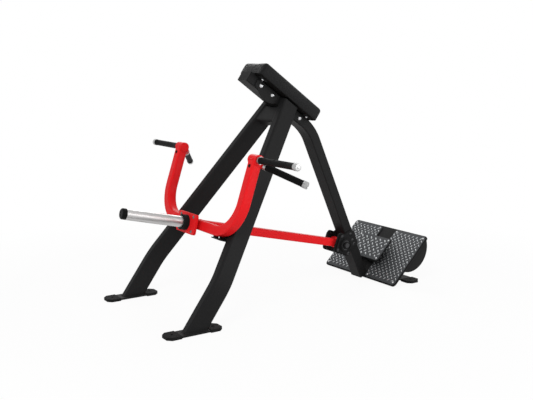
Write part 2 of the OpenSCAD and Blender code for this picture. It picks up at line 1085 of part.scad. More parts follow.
module flange_bolts() {
    color([0.72, 0.72, 0.74])
        lever_frame()
            for (i = [-1, 1], j = [-1, 1])
                translate([-horn_base, j * hbolt_y, i * hbolt_z])
                    rotate([0, -90, 0]) {
                        dome_bolt(hbolt_r, 2 * hflange_t + 1.6 * hbolt_r);
                        translate([0, 0, -2 * hflange_t])
                            hex_nut(hbolt_r);
                    }
}

module weight_horn() {
    color([0.7, 0.7, 0.72])
        lever_frame()
            translate([-horn_base, 0, 0])
                rotate([0, -90, 0]) {
                    ring(horn_root, horn_r - horn_step, horn_r - horn_wall);
                    translate([0, 0, horn_root])
                        ring(horn_len - horn_root, horn_r, horn_r - horn_wall);
                }
}

module horn_end_cap() {
    plug = 16;
    color([0.05, 0.05, 0.05])
        lever_frame()
            translate([-horn_base - horn_len, 0, 0])
                rotate([0, -90, 0]) {
                    cylinder(h = horn_cap_t, r = horn_r - horn_gap);
                    translate([0, 0, -plug])
                        cylinder(h = plug, r = horn_r - horn_wall);
                }
}

module horn_collar() {
    color([0.05, 0.05, 0.05])
        lever_frame()
            translate([-horn_base, 0, 0])
                rotate([0, -90, 0])
                    ring(collar_len, collar_r, horn_r - horn_step);
}

// Grips

module right_socket_shape() {
    color([0.8, 0.06, 0.08])
        yoke_frame()
            translate([0, 0, yoke_h])
                difference() {
                    y_bar(arm_y - socket_len / 2, socket_out, socket_r);
                    y_bar(arm_y - socket_len / 2 + socket_wall, big, core_r);
                }
}

module right_handle_socket() {
    right_socket_shape();
}

module left_handle_socket() {
    left_side()
        right_socket_shape();
}

module right_angled_shape() {
    color([0.8, 0.06, 0.08])
        difference() {
            angled_frame()
                translate([0, 0, -boss_len])
                    cylinder(h = 2 * boss_len, r = boss_out_r);
            angled_frame()
                cylinder(h = boss_len + 1, r = core_r);
            yoke_frame()
                translate([yoke_d / 2 - big, -big / 2, -big / 2])
                    cube(big);
        }
}

module right_angled_socket() {
    right_angled_shape();
}

module left_angled_socket() {
    left_side()
        right_angled_shape();
}

module handle_bars() {
    color([0.55, 0.55, 0.57])
        both_sides() {
            yoke_frame()
                translate([0, 0, yoke_h])
                    y_bar(arm_y - socket_len / 2 + socket_wall,
                        socket_out + grip_ring_len + grip_len, core_r);
            difference() {
                angled_frame()
                    cylinder(h = boss_len + grip_ring_len + angled_len, r = core_r);
                yoke_frame()
                    translate([yoke_d / 2 - big, -big / 2, -big / 2])
                        cube(big);
            }
        }
}

module right_grips_shape() {
    color([0.05, 0.05, 0.05]) {
        yoke_frame()
            translate([0, socket_out + grip_ring_len, yoke_h])
                rotate([-90, 0, 0])
                    ring(grip_len, grip_r, core_r);
        angled_frame()
            translate([0, 0, boss_len + grip_ring_len])
                ring(angled_len, grip_r, core_r);
    }
}

module right_grips() {
    right_grips_shape();
}

module left_grips() {
    left_side()
        right_grips_shape();
}

module grip_end_caps() {
    color([0.75, 0.75, 0.77])
        both_sides() {
            yoke_frame()
                translate([0, 0, yoke_h])
                    y_bar(socket_out + grip_ring_len + grip_len,
                        socket_out + grip_ring_len + grip_len + grip_cap_len, cap_r);
            angled_frame()
                translate([0, 0, boss_len + grip_ring_len + angled_len])
                    cylinder(h = grip_cap_len, r = cap_r);
        }
}

module grip_collars() {
    color([0.75, 0.75, 0.77])
        both_sides() {
            yoke_frame()
                translate([0, socket_out, yoke_h])
                    rotate([-90, 0, 0])
                        ring(grip_ring_len, ring_r, core_r);
            angled_frame()
                translate([0, 0, boss_len])
                    ring(grip_ring_len, ring_r, core_r);
        }
}

// Foot plate

module foot_base_plate() {
    color([0.13, 0.13, 0.135])
        plate_frame()
            difference() {
                translate([plate_len / 2, 0, -plate_t])
                    linear_extrude(plate_t)
                        rounded(plate_len, plate_w, 18);
                tread_bolt_places()
                    translate([0, 0, -2 * plate_t])
                        cylinder(h = 3 * plate_t, r = tread_bolt_r + fit);
            }
}

module tread_bolt_places() {
    for (x = [6 + tread_in, plate_len - 6 - tread_in], j = [-1, 1], k = [-1, 1])
        translate([x, j * (tread_y + k * (tread_w / 2 - tread_in)), 0])
            children();
}

module step_bolt_places() {
    for (x = [tread_in, step_len - tread_in], j = [-1, 1])
        translate([step_s + x, j * (step_w / 2 - tread_in), step_h - tread_t])
            children();
}

module right_tread_shape() {
    color([0.3, 0.3, 0.31])
        plate_frame()
            difference() {
                translate([plate_len / 2, tread_y, 0])
                    linear_extrude(tread_t)
                        rounded(tread_len, tread_w, 14);
                tread_bolt_places()
                    translate([0, 0, -1])
                        cylinder(h = tread_t + 2, r = tread_bolt_r + fit);
            }
}

module right_tread_plate() {
    right_tread_shape();
}

module left_tread_plate() {
    left_side()
        right_tread_shape();
}

module tread_bolts() {
    color([0.72, 0.72, 0.74])
        plate_frame() {
            tread_bolt_places()
                translate([0, 0, tread_t])
                    dome_bolt(tread_bolt_r, tread_t + plate_t);
            step_bolt_places()
                translate([0, 0, tread_t])
                    dome_bolt(tread_bolt_r, tread_t + plate_t);
        }
}

module step_riser() {
    color([0.13, 0.13, 0.135])
        plate_frame()
            translate([step_s + step_len / 2, 0, 0])
                linear_extrude(step_base)
                    section(riser_s, riser_w, 8, riser_wall);
}

module step_plate() {
    color([0.13, 0.13, 0.135])
        plate_frame()
            difference() {
                union() {
                    translate([step_s + step_len / 2, 0, step_base])
                        linear_extrude(plate_t)
                            rounded(step_len, step_w, 10);
                    translate([step_s, 10 - step_w / 2, step_base + plate_t - step_lip])
                        cube([plate_t, step_w - 20, step_lip]);
                }
                step_bolt_places()
                    translate([0, 0, -2 * plate_t])
                        cylinder(h = 3 * plate_t, r = tread_bolt_r + fit);
            }
}

module step_tread() {
    color([0.3, 0.3, 0.31])
        plate_frame()
            difference() {
                translate([step_s + step_len / 2, 0, step_base + plate_t])
                    linear_extrude(tread_t)
                        rounded(step_len - 4, step_w - 4, 10);
                step_bolt_places()
                    translate([0, 0, -1])
                        cylinder(h = tread_t + 2, r = tread_bolt_r + fit);
            }
}

module right_gusset_shape() {
    color([0.2, 0.2, 0.205])
        plate_frame()
            y_plate(gusset_y, gusset_t)
                intersection() {
                    translate([gusset_s, gusset_rise])
                        circle(gusset_r);
                    translate([0, -gusset_r - plate_t])
                        square([big, gusset_r]);
                }
}

module right_gusset() {
    right_gusset_shape();
}

module left_gusset() {
    left_side()
        right_gusset_shape();
}

module rear_post() {
    color([0.15, 0.15, 0.155])
        difference() {
            translate([rear_foot_x, 0, foot_top])
                linear_extrude(plate_len)
                    section(post_d, post_w, 8, post_wall);
            plate_frame()
                translate([-big / 2, -big / 2, -plate_t])
                    cube(big);
        }
}

spine();
spine_end_cap();
left_leg();
right_leg();
leg_bridge();
left_saddle_plate();
right_saddle_plate();
saddle_bolts();
left_foot_plate();
right_foot_plate();
front_foot_boots();
pad_ears();
pad_board();
chest_pad();
pad_bolts();
left_rest_bracket();
right_rest_bracket();
rest_buffers();
left_pivot_ear();
right_pivot_ear();
left_bearing_housing();
right_bearing_housing();
pivot_bearings();
bearing_bolts();
foot_base_plate();
left_tread_plate();
right_tread_plate();
tread_bolts();
step_riser();
step_plate();
step_tread();
left_gusset();
right_gusset();
rear_post();
rear_foot_bar();
rear_foot_boots();
lever_tube();
pivot_sleeve();
pivot_shaft();
shaft_collars();
yoke_tube();
lever_stub();
stub_end_plate();
horn_flange();
flange_bolts();
weight_horn();
horn_end_cap();
horn_collar();
left_handle_socket();
right_handle_socket();
left_angled_socket();
right_angled_socket();
handle_bars();
left_grips();
right_grips();
grip_end_caps();
grip_collars();
socket_screws();
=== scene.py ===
"""Looks of a chest-supported lever row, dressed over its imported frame.

Metres, +Z up, the weight horn towards -X and the left side at -Y. The steel
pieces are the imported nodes, each with a finish of its own. The upholstery, the
raised tread bars, the grips, the end caps and the weld seams are modelled here.
"""

import json
import logging
import math
from collections.abc import Callable, Iterable, Iterator, Sequence
from dataclasses import dataclass
from enum import Enum
from itertools import pairwise
from typing import Any

import bpy
from mathutils import Matrix, Vector

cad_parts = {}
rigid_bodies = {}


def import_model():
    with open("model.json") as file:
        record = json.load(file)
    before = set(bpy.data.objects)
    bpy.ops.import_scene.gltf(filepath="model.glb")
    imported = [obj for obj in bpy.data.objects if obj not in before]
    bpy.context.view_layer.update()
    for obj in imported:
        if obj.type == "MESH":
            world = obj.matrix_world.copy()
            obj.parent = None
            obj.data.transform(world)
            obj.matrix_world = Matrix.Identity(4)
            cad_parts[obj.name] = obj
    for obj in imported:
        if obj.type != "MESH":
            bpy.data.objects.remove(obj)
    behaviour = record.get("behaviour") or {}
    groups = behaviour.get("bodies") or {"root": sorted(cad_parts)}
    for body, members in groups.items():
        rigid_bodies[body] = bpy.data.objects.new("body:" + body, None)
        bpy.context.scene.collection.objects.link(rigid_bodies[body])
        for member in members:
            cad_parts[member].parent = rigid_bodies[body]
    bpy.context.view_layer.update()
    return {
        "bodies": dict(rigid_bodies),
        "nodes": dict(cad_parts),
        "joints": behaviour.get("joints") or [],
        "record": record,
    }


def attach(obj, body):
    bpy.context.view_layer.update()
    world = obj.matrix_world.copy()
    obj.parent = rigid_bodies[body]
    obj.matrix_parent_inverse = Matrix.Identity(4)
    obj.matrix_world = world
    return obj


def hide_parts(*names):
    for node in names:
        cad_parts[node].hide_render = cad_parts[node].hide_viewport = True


LOG = logging.getLogger("lever_row")
WHITE = (1.0, 1.0, 1.0, 1.0)

NEAR = 1e-5
FACING = 0.9
TURNED_SMOOTH = 32
BAR_SMOOTH = 50

Colour = tuple[float, float, float]
Point = tuple[float, float, float]
Section = tuple[float, float, float]
Span = tuple[float, float]
Outline = list[tuple[float, float]]


class Body(Enum):
    """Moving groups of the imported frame."""

    FRAME = "frame"
    LEVER = "lever"


class Slot(Enum):
    """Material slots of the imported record."""

    FRAME_BLACK = "frame_black"
    LEVER_RED = "lever_red"
    VINYL_BLACK = "vinyl_black"
    BOARD_WOOD = "board_wood"
    TREAD_GREY = "tread_grey"
    RUBBER_BLACK = "rubber_black"
    GRIP_RUBBER = "grip_rubber"
    PLASTIC_BLACK = "plastic_black"
    HOUSING_CAST = "housing_cast"
    ZINC_BOLT = "zinc_bolt"
    SHAFT_STEEL = "shaft_steel"
    HORN_CHROME = "horn_chrome"
    ALU_SILVER = "alu_silver"


class Pick(Enum):
    """What is picked on a mesh."""

    FACES = "FACE"
    EDGES = "EDGE"


# Places


def frame_about_y(origin: Point, degrees: float) -> Matrix:
    """Frame at a point, turned about Y.

    Args:
        origin: Where the frame sits, in metres.
        degrees: Turn that tips +X downwards.

    Returns:
        The frame as a matrix.
    """
    return Matrix.Translation(origin) @ Matrix.Rotation(math.radians(degrees), 4, "Y")


PAD_TILT = 35.5
PLATE_TILT = 45
LEVER_RISE = 13.1
YOKE_TIP = 4.9
PAD_FRAME = frame_about_y((-0.1285, 0, 1.065), PAD_TILT)
PLATE_FRAME = frame_about_y((0.54554, 0, 0.009), -PLATE_TILT)
LEVER_FRAME = frame_about_y((0.409896, 0, 0.198), LEVER_RISE)
YOKE_FRAME = LEVER_FRAME @ frame_about_y((-0.843, 0, 0), YOKE_TIP)
HORN_FRAME = LEVER_FRAME @ frame_about_y((-0.8995, 0, 0), -90)
ARM_Y = 0.335
ARM_SIDE = 0.045
SOCKET_Z = 0.334
SOCKET_HALF = 0.029
SOCKET_RADIUS = 0.0225
ANGLED_DROP = 0.012
ANGLED_SWING = 52
ANGLED_LEAN = 100
ANGLED_RADIUS = 0.015


def outer_grip_frame(side: int) -> Matrix:
    """Frame of an outer grip, +Z out along it.

    Args:
        side: 1 for the right grip and -1 for the left one.

    Returns:
        Frame at the outer end of the grip's socket.
    """
    root = Matrix.Translation((0, side * (ARM_Y + SOCKET_HALF), SOCKET_Z))
    return YOKE_FRAME @ root @ Matrix.Rotation(math.radians(-90 * side), 4, "X")


def angled_grip_frame(side: int) -> Matrix:
    """Frame of an angled grip, +Z out along it.

    Args:
        side: 1 for the right grip and -1 for the left one.

    Returns:
        Frame where the grip's axis leaves the arm's rear face.
    """
    root = Matrix.Translation((ARM_SIDE / 2, side * ARM_Y, SOCKET_Z - ANGLED_DROP))
    swing = Matrix.Rotation(math.radians(ANGLED_SWING * side), 4, "Z")
    drop = Matrix.Rotation(math.radians(ANGLED_LEAN), 4, "Y")
    return YOKE_FRAME @ root @ swing @ drop


# Shader maths


class Shade:
    """Output of a node that takes part in arithmetic."""

    def __init__(self, tree: "ShadeTree", socket: bpy.types.NodeSocket | None) -> None:
        """Keep the tree and the socket."""
        self.tree = tree
        self.socket = socket

    def _math(self, operation: str, first: "Shade | float", second: "Shade | float") -> "Shade":
        """Add one Math node.

        Args:
            operation: Name of the Math operation.
            first: First operand.
            second: Second operand.

        Returns:
            The node's value.
        """
        return self.tree.add("ShaderNodeMath", {"operation": operation}, {0: first, 1: second})

    def __add__(self, other: "Shade | float") -> "Shade":
        """Sum."""
        return self._math("ADD", self, other)

    def __radd__(self, other: float) -> "Shade":
        """Sum with a number on the left."""
        return self._math("ADD", other, self)

    def __sub__(self, other: "Shade | float") -> "Shade":
        """Difference."""
        return self._math("SUBTRACT", self, other)

    def __rsub__(self, other: float) -> "Shade":
        """Difference from a number on the left."""
        return self._math("SUBTRACT", other, self)

    def __mul__(self, other: "Shade | float") -> "Shade":
        """Product."""
        return self._math("MULTIPLY", self, other)

    def __rmul__(self, other: float) -> "Shade":
        """Product with a number on the left."""
        return self._math("MULTIPLY", other, self)

    def held(self, low: float, high: float) -> "Shade":
        """Value kept between two limits.

        Args:
            low: Lowest value.
            high: Highest value.

        Returns:
            The limited value.
        """
        return self._math("MINIMUM", self._math("MAXIMUM", self, low), high)


Input = Shade | float | Sequence[float]


class ShadeTree:
    """Node tree that is filled node by node."""

    def __init__(self, tree: bpy.types.NodeTree) -> None:
        """Empty the tree.

        Args:
            tree: Node tree of a material or a world.
        """
        self.tree = tree
        self.tree.nodes.clear()

    def add(
        self,
        kind: str,
        settings: dict[str, object] | None = None,
        sockets: dict[str | int, Input] | None = None,
        out: str | int = 0,
    ) -> Shade:
        """Add one node.

        Args:
            kind: The node's type.
            settings: Its own settings, with a ramp's stops under "stops".
            sockets: Values or links of its inputs.
            out: The output to hand back.

        Returns:
            That output, empty for a node that has none.
        """
        node = self.tree.nodes.new(kind)
        for key, value in (settings or {}).items():
            if key == "stops":
                self._set_stops(node.color_ramp, value)
            else:
                setattr(node, key, value)
        for key, value in (sockets or {}).items():
            if isinstance(value, Shade):
                self.tree.links.new(value.socket, node.inputs[key])
            else:
                node.inputs[key].default_value = value
        return Shade(self, node.outputs[out] if node.outputs else None)

    @staticmethod
    def _set_stops(ramp: bpy.types.ColorRamp, stops: Sequence[tuple[float, float]]) -> None:
        """Give a ramp grey stops.

        Args:
            ramp: The ramp, with its two first stops.
            stops: Position and grey value of each stop.
        """
        while len(ramp.elements) < len(stops):
            ramp.elements.new(1.0)
        for element, (position, grey) in zip(ramp.elements, stops):
            element.position = position
            element.color = (grey, grey, grey, 1.0)

    def backdrop_rays(self) -> Shade:
        """Find the rays that show the backdrop itself.

        Returns:
            A mask that is 1 for camera, glossy and transmission rays.
        """
        seen, glossy, through = (
            self.add("ShaderNodeLightPath", out=name)
            for name in ("Is Camera Ray", "Is Glossy Ray", "Is Transmission Ray")
        )
        return (seen + glossy + through).held(0.0, 1.0)


class FinishTree(ShadeTree):
    """Node tree of one material, with the steps that the finishes share."""

    EDGE_SAMPLES = 6
    EDGE_GAIN = 5.0

    def __init__(self, name: str) -> None:
        """Make an empty material.

        Args:
            name: The material's name.
        """
        self.material = bpy.data.materials.new(name)
        self.material.use_nodes = True
        super().__init__(self.material.node_tree)

    def place(self, turn: Sequence[float] = (0, 0, 0), scale: Sequence[float] = (1, 1, 1)) -> Shade:
        """Object coordinates, turned and scaled.

        Args:
            turn: Turn about X, Y and Z, in radians.
            scale: Scale along X, Y and Z.

        Returns:
            The coordinates.
        """
        spot = self.add("ShaderNodeTexCoord", out="Object")
        return self.add("ShaderNodeMapping", {}, {"Vector": spot, "Rotation": turn, "Scale": scale})

    def noise(self, spot: Shade, scale: float, detail: float = 2.0, rough: float = 0.5) -> Shade:
        """Noise from 0 to 1.

        Args:
            spot: Coordinates.
            scale: Cells per metre.
            detail: Octaves.
            rough: Share of the finer octaves.

        Returns:
            The noise.
        """
        sockets = {"Vector": spot, "Scale": scale, "Detail": detail, "Roughness": rough}
        return self.add("ShaderNodeTexNoise", {}, sockets)

    def cells(self, spot: Shade, scale: float, feature: str) -> Shade:
        """Distance in a cell pattern.

        Args:
            spot: Coordinates.
            scale: Cells per metre.
            feature: Which distance.

        Returns:
            The distance.
        """
        sockets = {"Vector": spot, "Scale": scale}
        return self.add("ShaderNodeTexVoronoi", {"feature": feature}, sockets)

    def ramp(self, value: Shade, stops: Sequence[tuple[float, float]]) -> Shade:
        """Grey ramp over a value.

        Args:
            value: What the ramp reads.
            stops: Position and grey value of each stop.

        Returns:
            The grey.
        """
        return self.add("ShaderNodeValToRGB", {"stops": stops}, {"Fac": value})

    def mix(self, share: Shade, low: Colour | Shade, high: Colour | Shade) -> Shade:
        """Blend of two colours.

        Args:
            share: Share of the second colour, which is kept between 0 and 1.
            low: Colour where the share is 0.
            high: Colour where the share is 1.

        Returns:
            The blend.
        """
        first, second = ((*c, 1.0) if isinstance(c, tuple) else c for c in (low, high))
        sockets = {0: share.held(0.0, 1.0), 6: first, 7: second}
        return self.add("ShaderNodeMix", {"data_type": "RGBA"}, sockets, 2)

    @staticmethod
    def around(middle: float, *parts: tuple[Shade, float]) -> Shade:
        """Value that varies about its middle.

        Args:
            middle: The value where every noise is a half.
            parts: Each noise from 0 to 1, with how far it moves the value.

        Returns:
            The value.
        """
        value: Shade | float = middle
        for noise, spread in parts:
            value = value + (noise - 0.5) * spread
        return value

    def round_edges(self, radius: float) -> tuple[Shade, Shade]:
        """Normals as if the edges were rounded, and where the edges are.

        Args:
            radius: Radius of the rounding.

        Returns:
            The normals and a mask that is 1 on the edges.
        """
        soft = self.add("ShaderNodeBevel", {"samples": self.EDGE_SAMPLES}, {"Radius": radius})
        flat = self.add("ShaderNodeNewGeometry", out="True Normal")
        dot = {"operation": "DOT_PRODUCT"}
        same = self.add("ShaderNodeVectorMath", dot, {0: soft, 1: flat}, "Value")
        return soft, ((1.0 - same) * self.EDGE_GAIN).held(0.0, 1.0)

    def bump(self, height: Shade, depth: float, normal: Shade | None = None) -> Shade:
        """Relief of a height.

        Args:
            height: Height from 0 to 1.
            depth: Height of the value 1, in metres.
            normal: Normals under the relief.

        Returns:
            The normals.
        """
        sockets: dict[str | int, Input] = {"Height": height, "Distance": depth, "Strength": 1.0}
        if normal is not None:
            sockets["Normal"] = normal
        return self.add("ShaderNodeBump", {}, sockets)

    def surface(self, sockets: dict[str | int, Input]) -> bpy.types.Material:
        """Close the tree with the surface shader.

        Args:
            sockets: Values or links of the shader's inputs.

        Returns:
            The finished material.
        """
        shader = self.add("ShaderNodeBsdfPrincipled", {}, sockets)
        self.add("ShaderNodeOutputMaterial", {}, {"Surface": shader})
        return self.material


# Finishes


@dataclass(frozen=True)
class Finish:
    """A finish that can make its material."""

    name: str
    colour: Colour
    roughness: float

    def tone(self, times: float) -> Colour:
        """Colour of the finish, made paler or darker by a factor."""
        red, green, blue = self.colour
        return red * times, green * times, blue * times

    def material(self) -> bpy.types.Material:
        """Make the material."""
        raise NotImplementedError


@dataclass(frozen=True)
class PowderCoat(Finish):
    """Baked powder paint on steel, with a fine grain and edges painted a little brighter in
    patches: partly rubbed wear, partly a painted edge highlight.
    """

    # Lighter colour of the edges: partly rubbed wear, partly a painted edge highlight.
    worn_and_lit: Colour = (0.025, 0.025, 0.0255)
    worn_and_lit_share: float = 0.7
    patches: float = 60.0
    cloud: float = 14.0
    cloud_share: float = 0.12
    cloud_rough: float = 0.12
    grain: float = 1100.0
    grain_depth: float = 0.00006
    grain_rough: float = 0.08
    coat: float = 0.0
    coat_rough: float = 0.12
    edge: float = 0.0012
    gloss: float = 0.06

    def material(self) -> bpy.types.Material:
        """Make the material.

        Returns:
            The paint.
        """
        tree = FinishTree(self.name)
        spot = tree.place()
        soft, edges = tree.round_edges(self.edge)
        cloud = tree.noise(spot, self.cloud, 3.0)
        grain = tree.noise(spot, self.grain, 1.0)
        patches = tree.noise(spot, self.patches, 4.0, 0.6)
        # Painted edge highlight: the edges are painted lighter in patches, partly as rubbed wear
        # and partly standing in for light on the edges.
        rub_and_highlight = edges * tree.ramp(patches, [(0.42, 0.0), (0.62, 1.0)])
        share = rub_and_highlight * self.worn_and_lit_share + cloud * self.cloud_share
        uneven = (cloud, self.cloud_rough), (grain, self.grain_rough)
        return tree.surface({
            "Base Color": tree.mix(share, self.colour, self.worn_and_lit),
            "Roughness": tree.around(self.roughness, *uneven),
            "Specular IOR Level": self.gloss,
            "Coat Weight": self.coat,
            "Coat Roughness": self.coat_rough,
            "Normal": tree.bump(grain, self.grain_depth, soft),
        })


@dataclass(frozen=True)
class Vinyl(Finish):
    """Grained upholstery vinyl."""

    grain: float = 620.0
    grain_depth: float = 0.00022
    warp: float = 260.0
    warp_reach: float = 0.0016
    cloud: float = 9.0
    cloud_rough: float = 0.14
    pore_rough: float = 0.05
    shine: float = 1.7
    gloss: float = 0.12

    def material(self) -> bpy.types.Material:
        """Make the material.

        Returns:
            The vinyl.
        """
        tree = FinishTree(self.name)
        spot = tree.place()
        waves = {"Vector": spot, "Scale": self.warp, "Detail": 2.0}
        warp = tree.add("ShaderNodeTexNoise", {}, waves, "Color")
        reach = {0: warp, "Scale": self.warp_reach}
        bent = tree.add("ShaderNodeVectorMath", {"operation": "SCALE"}, reach)
        leather = tree.add("ShaderNodeVectorMath", {"operation": "ADD"}, {0: spot, 1: bent})
        creases = tree.cells(leather, self.grain, "DISTANCE_TO_EDGE")
        pores = tree.ramp(creases, [(0.0, 0.0), (0.22, 1.0)])
        cloud = tree.noise(spot, self.cloud, 3.0)
        uneven = tree.around(self.roughness, (cloud, self.cloud_rough))
        return tree.surface({
            "Base Color": tree.mix(pores * 0.5 + cloud * 0.5, self.colour, self.tone(self.shine)),
            "Roughness": uneven - pores * self.pore_rough,
            "Specular IOR Level": self.gloss,
            "Normal": tree.bump(pores, self.grain_depth),
        })


@dataclass(frozen=True)
class Rubber(Finish):
    """Moulded rubber or plastic with a matt skin."""

    grain: float = 900.0
    grain_depth: float = 0.00008
    # Lighter colour: cloudy dust, and a painted edge highlight on the edges.
    dust_and_edge_highlight: float = 1.8
    cloud: float = 22.0
    cloud_share: float = 0.6
    cloud_rough: float = 0.12
    edge: float = 0.0014
    edge_highlight_share: float = 0.4
    gloss: float = 0.06

    def material(self) -> bpy.types.Material:
        """Make the material.

        Returns:
            The rubber.
        """
        tree = FinishTree(self.name)
        spot = tree.place()
        soft, edges = tree.round_edges(self.edge)
        cloud = tree.noise(spot, self.cloud, 4.0, 0.6)
        grain = tree.noise(spot, self.grain, 2.0)
        # The cloud paints dust; the edge mask paints the edges lighter as a painted edge highlight.
        share = cloud * self.cloud_share + edges * self.edge_highlight_share
        return tree.surface({
            "Base Color": tree.mix(share, self.colour, self.tone(self.dust_and_edge_highlight)),
            "Roughness": tree.around(self.roughness, (cloud, self.cloud_rough)),
            "Specular IOR Level": self.gloss,
            "Normal": tree.bump(grain, self.grain_depth, soft),
        })


@dataclass(frozen=True)
class PebbledRubber(Finish):
    """Rubber grip with a pebbled skin."""

    pebble: float = 520.0
    pebble_round: float = 1.2
    pebble_depth: float = 0.0003
    pebble_rough: float = 0.1
    cloud: float = 30.0
    rubbed_and_lit: float = 2.2
    gloss: float = 0.05

    def material(self) -> bpy.types.Material:
        """Make the material.

        Returns:
            The grip rubber.
        """
        tree = FinishTree(self.name)
        spot = tree.place()
        pebbles = 1.0 - tree.cells(spot, self.pebble, "SMOOTH_F1") * self.pebble_round
        cloud = tree.noise(spot, self.cloud, 3.0)
        return tree.surface({
            # The pebble tops are painted lighter in cloudy patches: partly rubbed wear, partly a
            # painted highlight on the tops.
            "Base Color": tree.mix(pebbles * cloud, self.colour, self.tone(self.rubbed_and_lit)),
            "Roughness": self.roughness - pebbles * self.pebble_rough,
            "Specular IOR Level": self.gloss,
            "Normal": tree.bump(pebbles, self.pebble_depth),
        })


@dataclass(frozen=True)
class BareMetal(Finish):
    """Bare or plated metal with fine scratches in one direction or all round."""

    streaks: Point = (900.0, 900.0, 900.0)
    streak_depth: float = 0.00001
    turn: Point = (0.0, 0.0, 0.0)
    spread: float = 0.16
    dull: float = 0.72
    cloud: float = 18.0
    cloud_rough: float = 0.08
    edge: float = 0.0006
    edge_highlight_share: float = 0.3
    least_rough: float = 0.05

    def material(self) -> bpy.types.Material:
        """Make the material.

        Returns:
            The metal.
        """
        tree = FinishTree(self.name)
        soft, edges = tree.round_edges(self.edge)
        streak = tree.noise(tree.place(self.turn, self.streaks), 1.0, 3.0, 0.6)
        cloud = tree.noise(tree.place(), self.cloud, 3.0)
        # The edges are painted brighter as a painted edge highlight; the streaks and the cloud are
        # the metal's own tone.
        share = cloud * 0.5 + streak * 0.5 - edges * self.edge_highlight_share
        uneven = tree.around(self.roughness, (streak, self.spread), (cloud, self.cloud_rough))
        return tree.surface({
            "Base Color": tree.mix(share, self.colour, self.tone(self.dull)),
            "Metallic": 1.0,
            "Roughness": uneven.held(self.least_rough, 1.0),
            "Normal": tree.bump(streak, self.streak_depth, soft),
        })


@dataclass(frozen=True)
class TreadMetal(Finish):
    """Rolled tread sheet: dull between the bars, rubbed bright on them."""

    bright: Colour = (0.10, 0.104, 0.108)
    metallic: float = 0.35
    gloss: float = 0.15
    cloud: float = 26.0
    cloud_share: float = 0.35
    cloud_rough: float = 0.16
    edge: float = 0.0007
    edge_highlight_share: float = 0.5
    grit: float = 700.0
    grit_share: float = 0.1
    grit_depth: float = 0.00005

    def material(self) -> bpy.types.Material:
        """Make the material.

        Returns:
            The sheet's metal.
        """
        tree = FinishTree(self.name)
        spot = tree.place()
        soft, edges = tree.round_edges(self.edge)
        cloud = tree.noise(spot, self.cloud, 4.0, 0.6)
        grit = tree.noise(spot, self.grit, 2.0)
        # The edges are painted brighter as a painted edge highlight; the cloud and the grit are the
        # metal's own tone.
        share = cloud * self.cloud_share + edges * self.edge_highlight_share + grit * self.grit_share
        return tree.surface({
            "Base Color": tree.mix(share, self.colour, self.bright),
            "Metallic": self.metallic,
            "Roughness": tree.around(self.roughness, (cloud, self.cloud_rough)),
            "Specular IOR Level": self.gloss,
            "Normal": tree.bump(grit, self.grit_depth, soft),
        })


@dataclass(frozen=True)
class CastIron(Finish):
    """Painted sand casting."""

    sand: float = 420.0
    sand_share: float = 0.2
    sand_rough: float = 0.2
    sand_depth: float = 0.00035
    cloud: float = 40.0
    rubbed_and_lit: float = 2.6
    edge: float = 0.0025
    gloss: float = 0.08

    def material(self) -> bpy.types.Material:
        """Make the material.

        Returns:
            The casting's paint.
        """
        tree = FinishTree(self.name)
        spot = tree.place()
        soft, edges = tree.round_edges(self.edge)
        sand = tree.noise(spot, self.sand, 3.0, 0.65)
        cloud = tree.noise(spot, self.cloud, 3.0)
        # The sand paints the casting's own tone; the edges are painted lighter in cloudy patches,
        # partly rubbed wear and partly a painted edge highlight.
        share = edges * cloud + sand * self.sand_share
        return tree.surface({
            "Base Color": tree.mix(share, self.colour, self.tone(self.rubbed_and_lit)),
            "Roughness": tree.around(self.roughness, (sand, self.sand_rough)),
            "Specular IOR Level": self.gloss,
            "Normal": tree.bump(sand, self.sand_depth, soft),
        })


@dataclass(frozen=True)
class StainedPlywood(Finish):
    """Black-stained plywood with its grain along the board."""

    grain: Point = (7.0, 120.0, 260.0)
    grain_rough: float = 0.2
    grain_depth: float = 0.0002
    pale: float = 2.0
    gloss: float = 0.1

    def material(self) -> bpy.types.Material:
        """Make the material.

        Returns:
            The plywood.
        """
        tree = FinishTree(self.name)
        spot = tree.place((0.0, math.radians(-PAD_TILT), 0.0), self.grain)
        grain = tree.noise(spot, 1.0, 5.0, 0.65)
        return tree.surface({
            "Base Color": tree.mix(grain, self.colour, self.tone(self.pale)),
            "Roughness": tree.around(self.roughness, (grain, self.grain_rough)),
            "Specular IOR Level": self.gloss,
            "Normal": tree.bump(grain, self.grain_depth),
        })


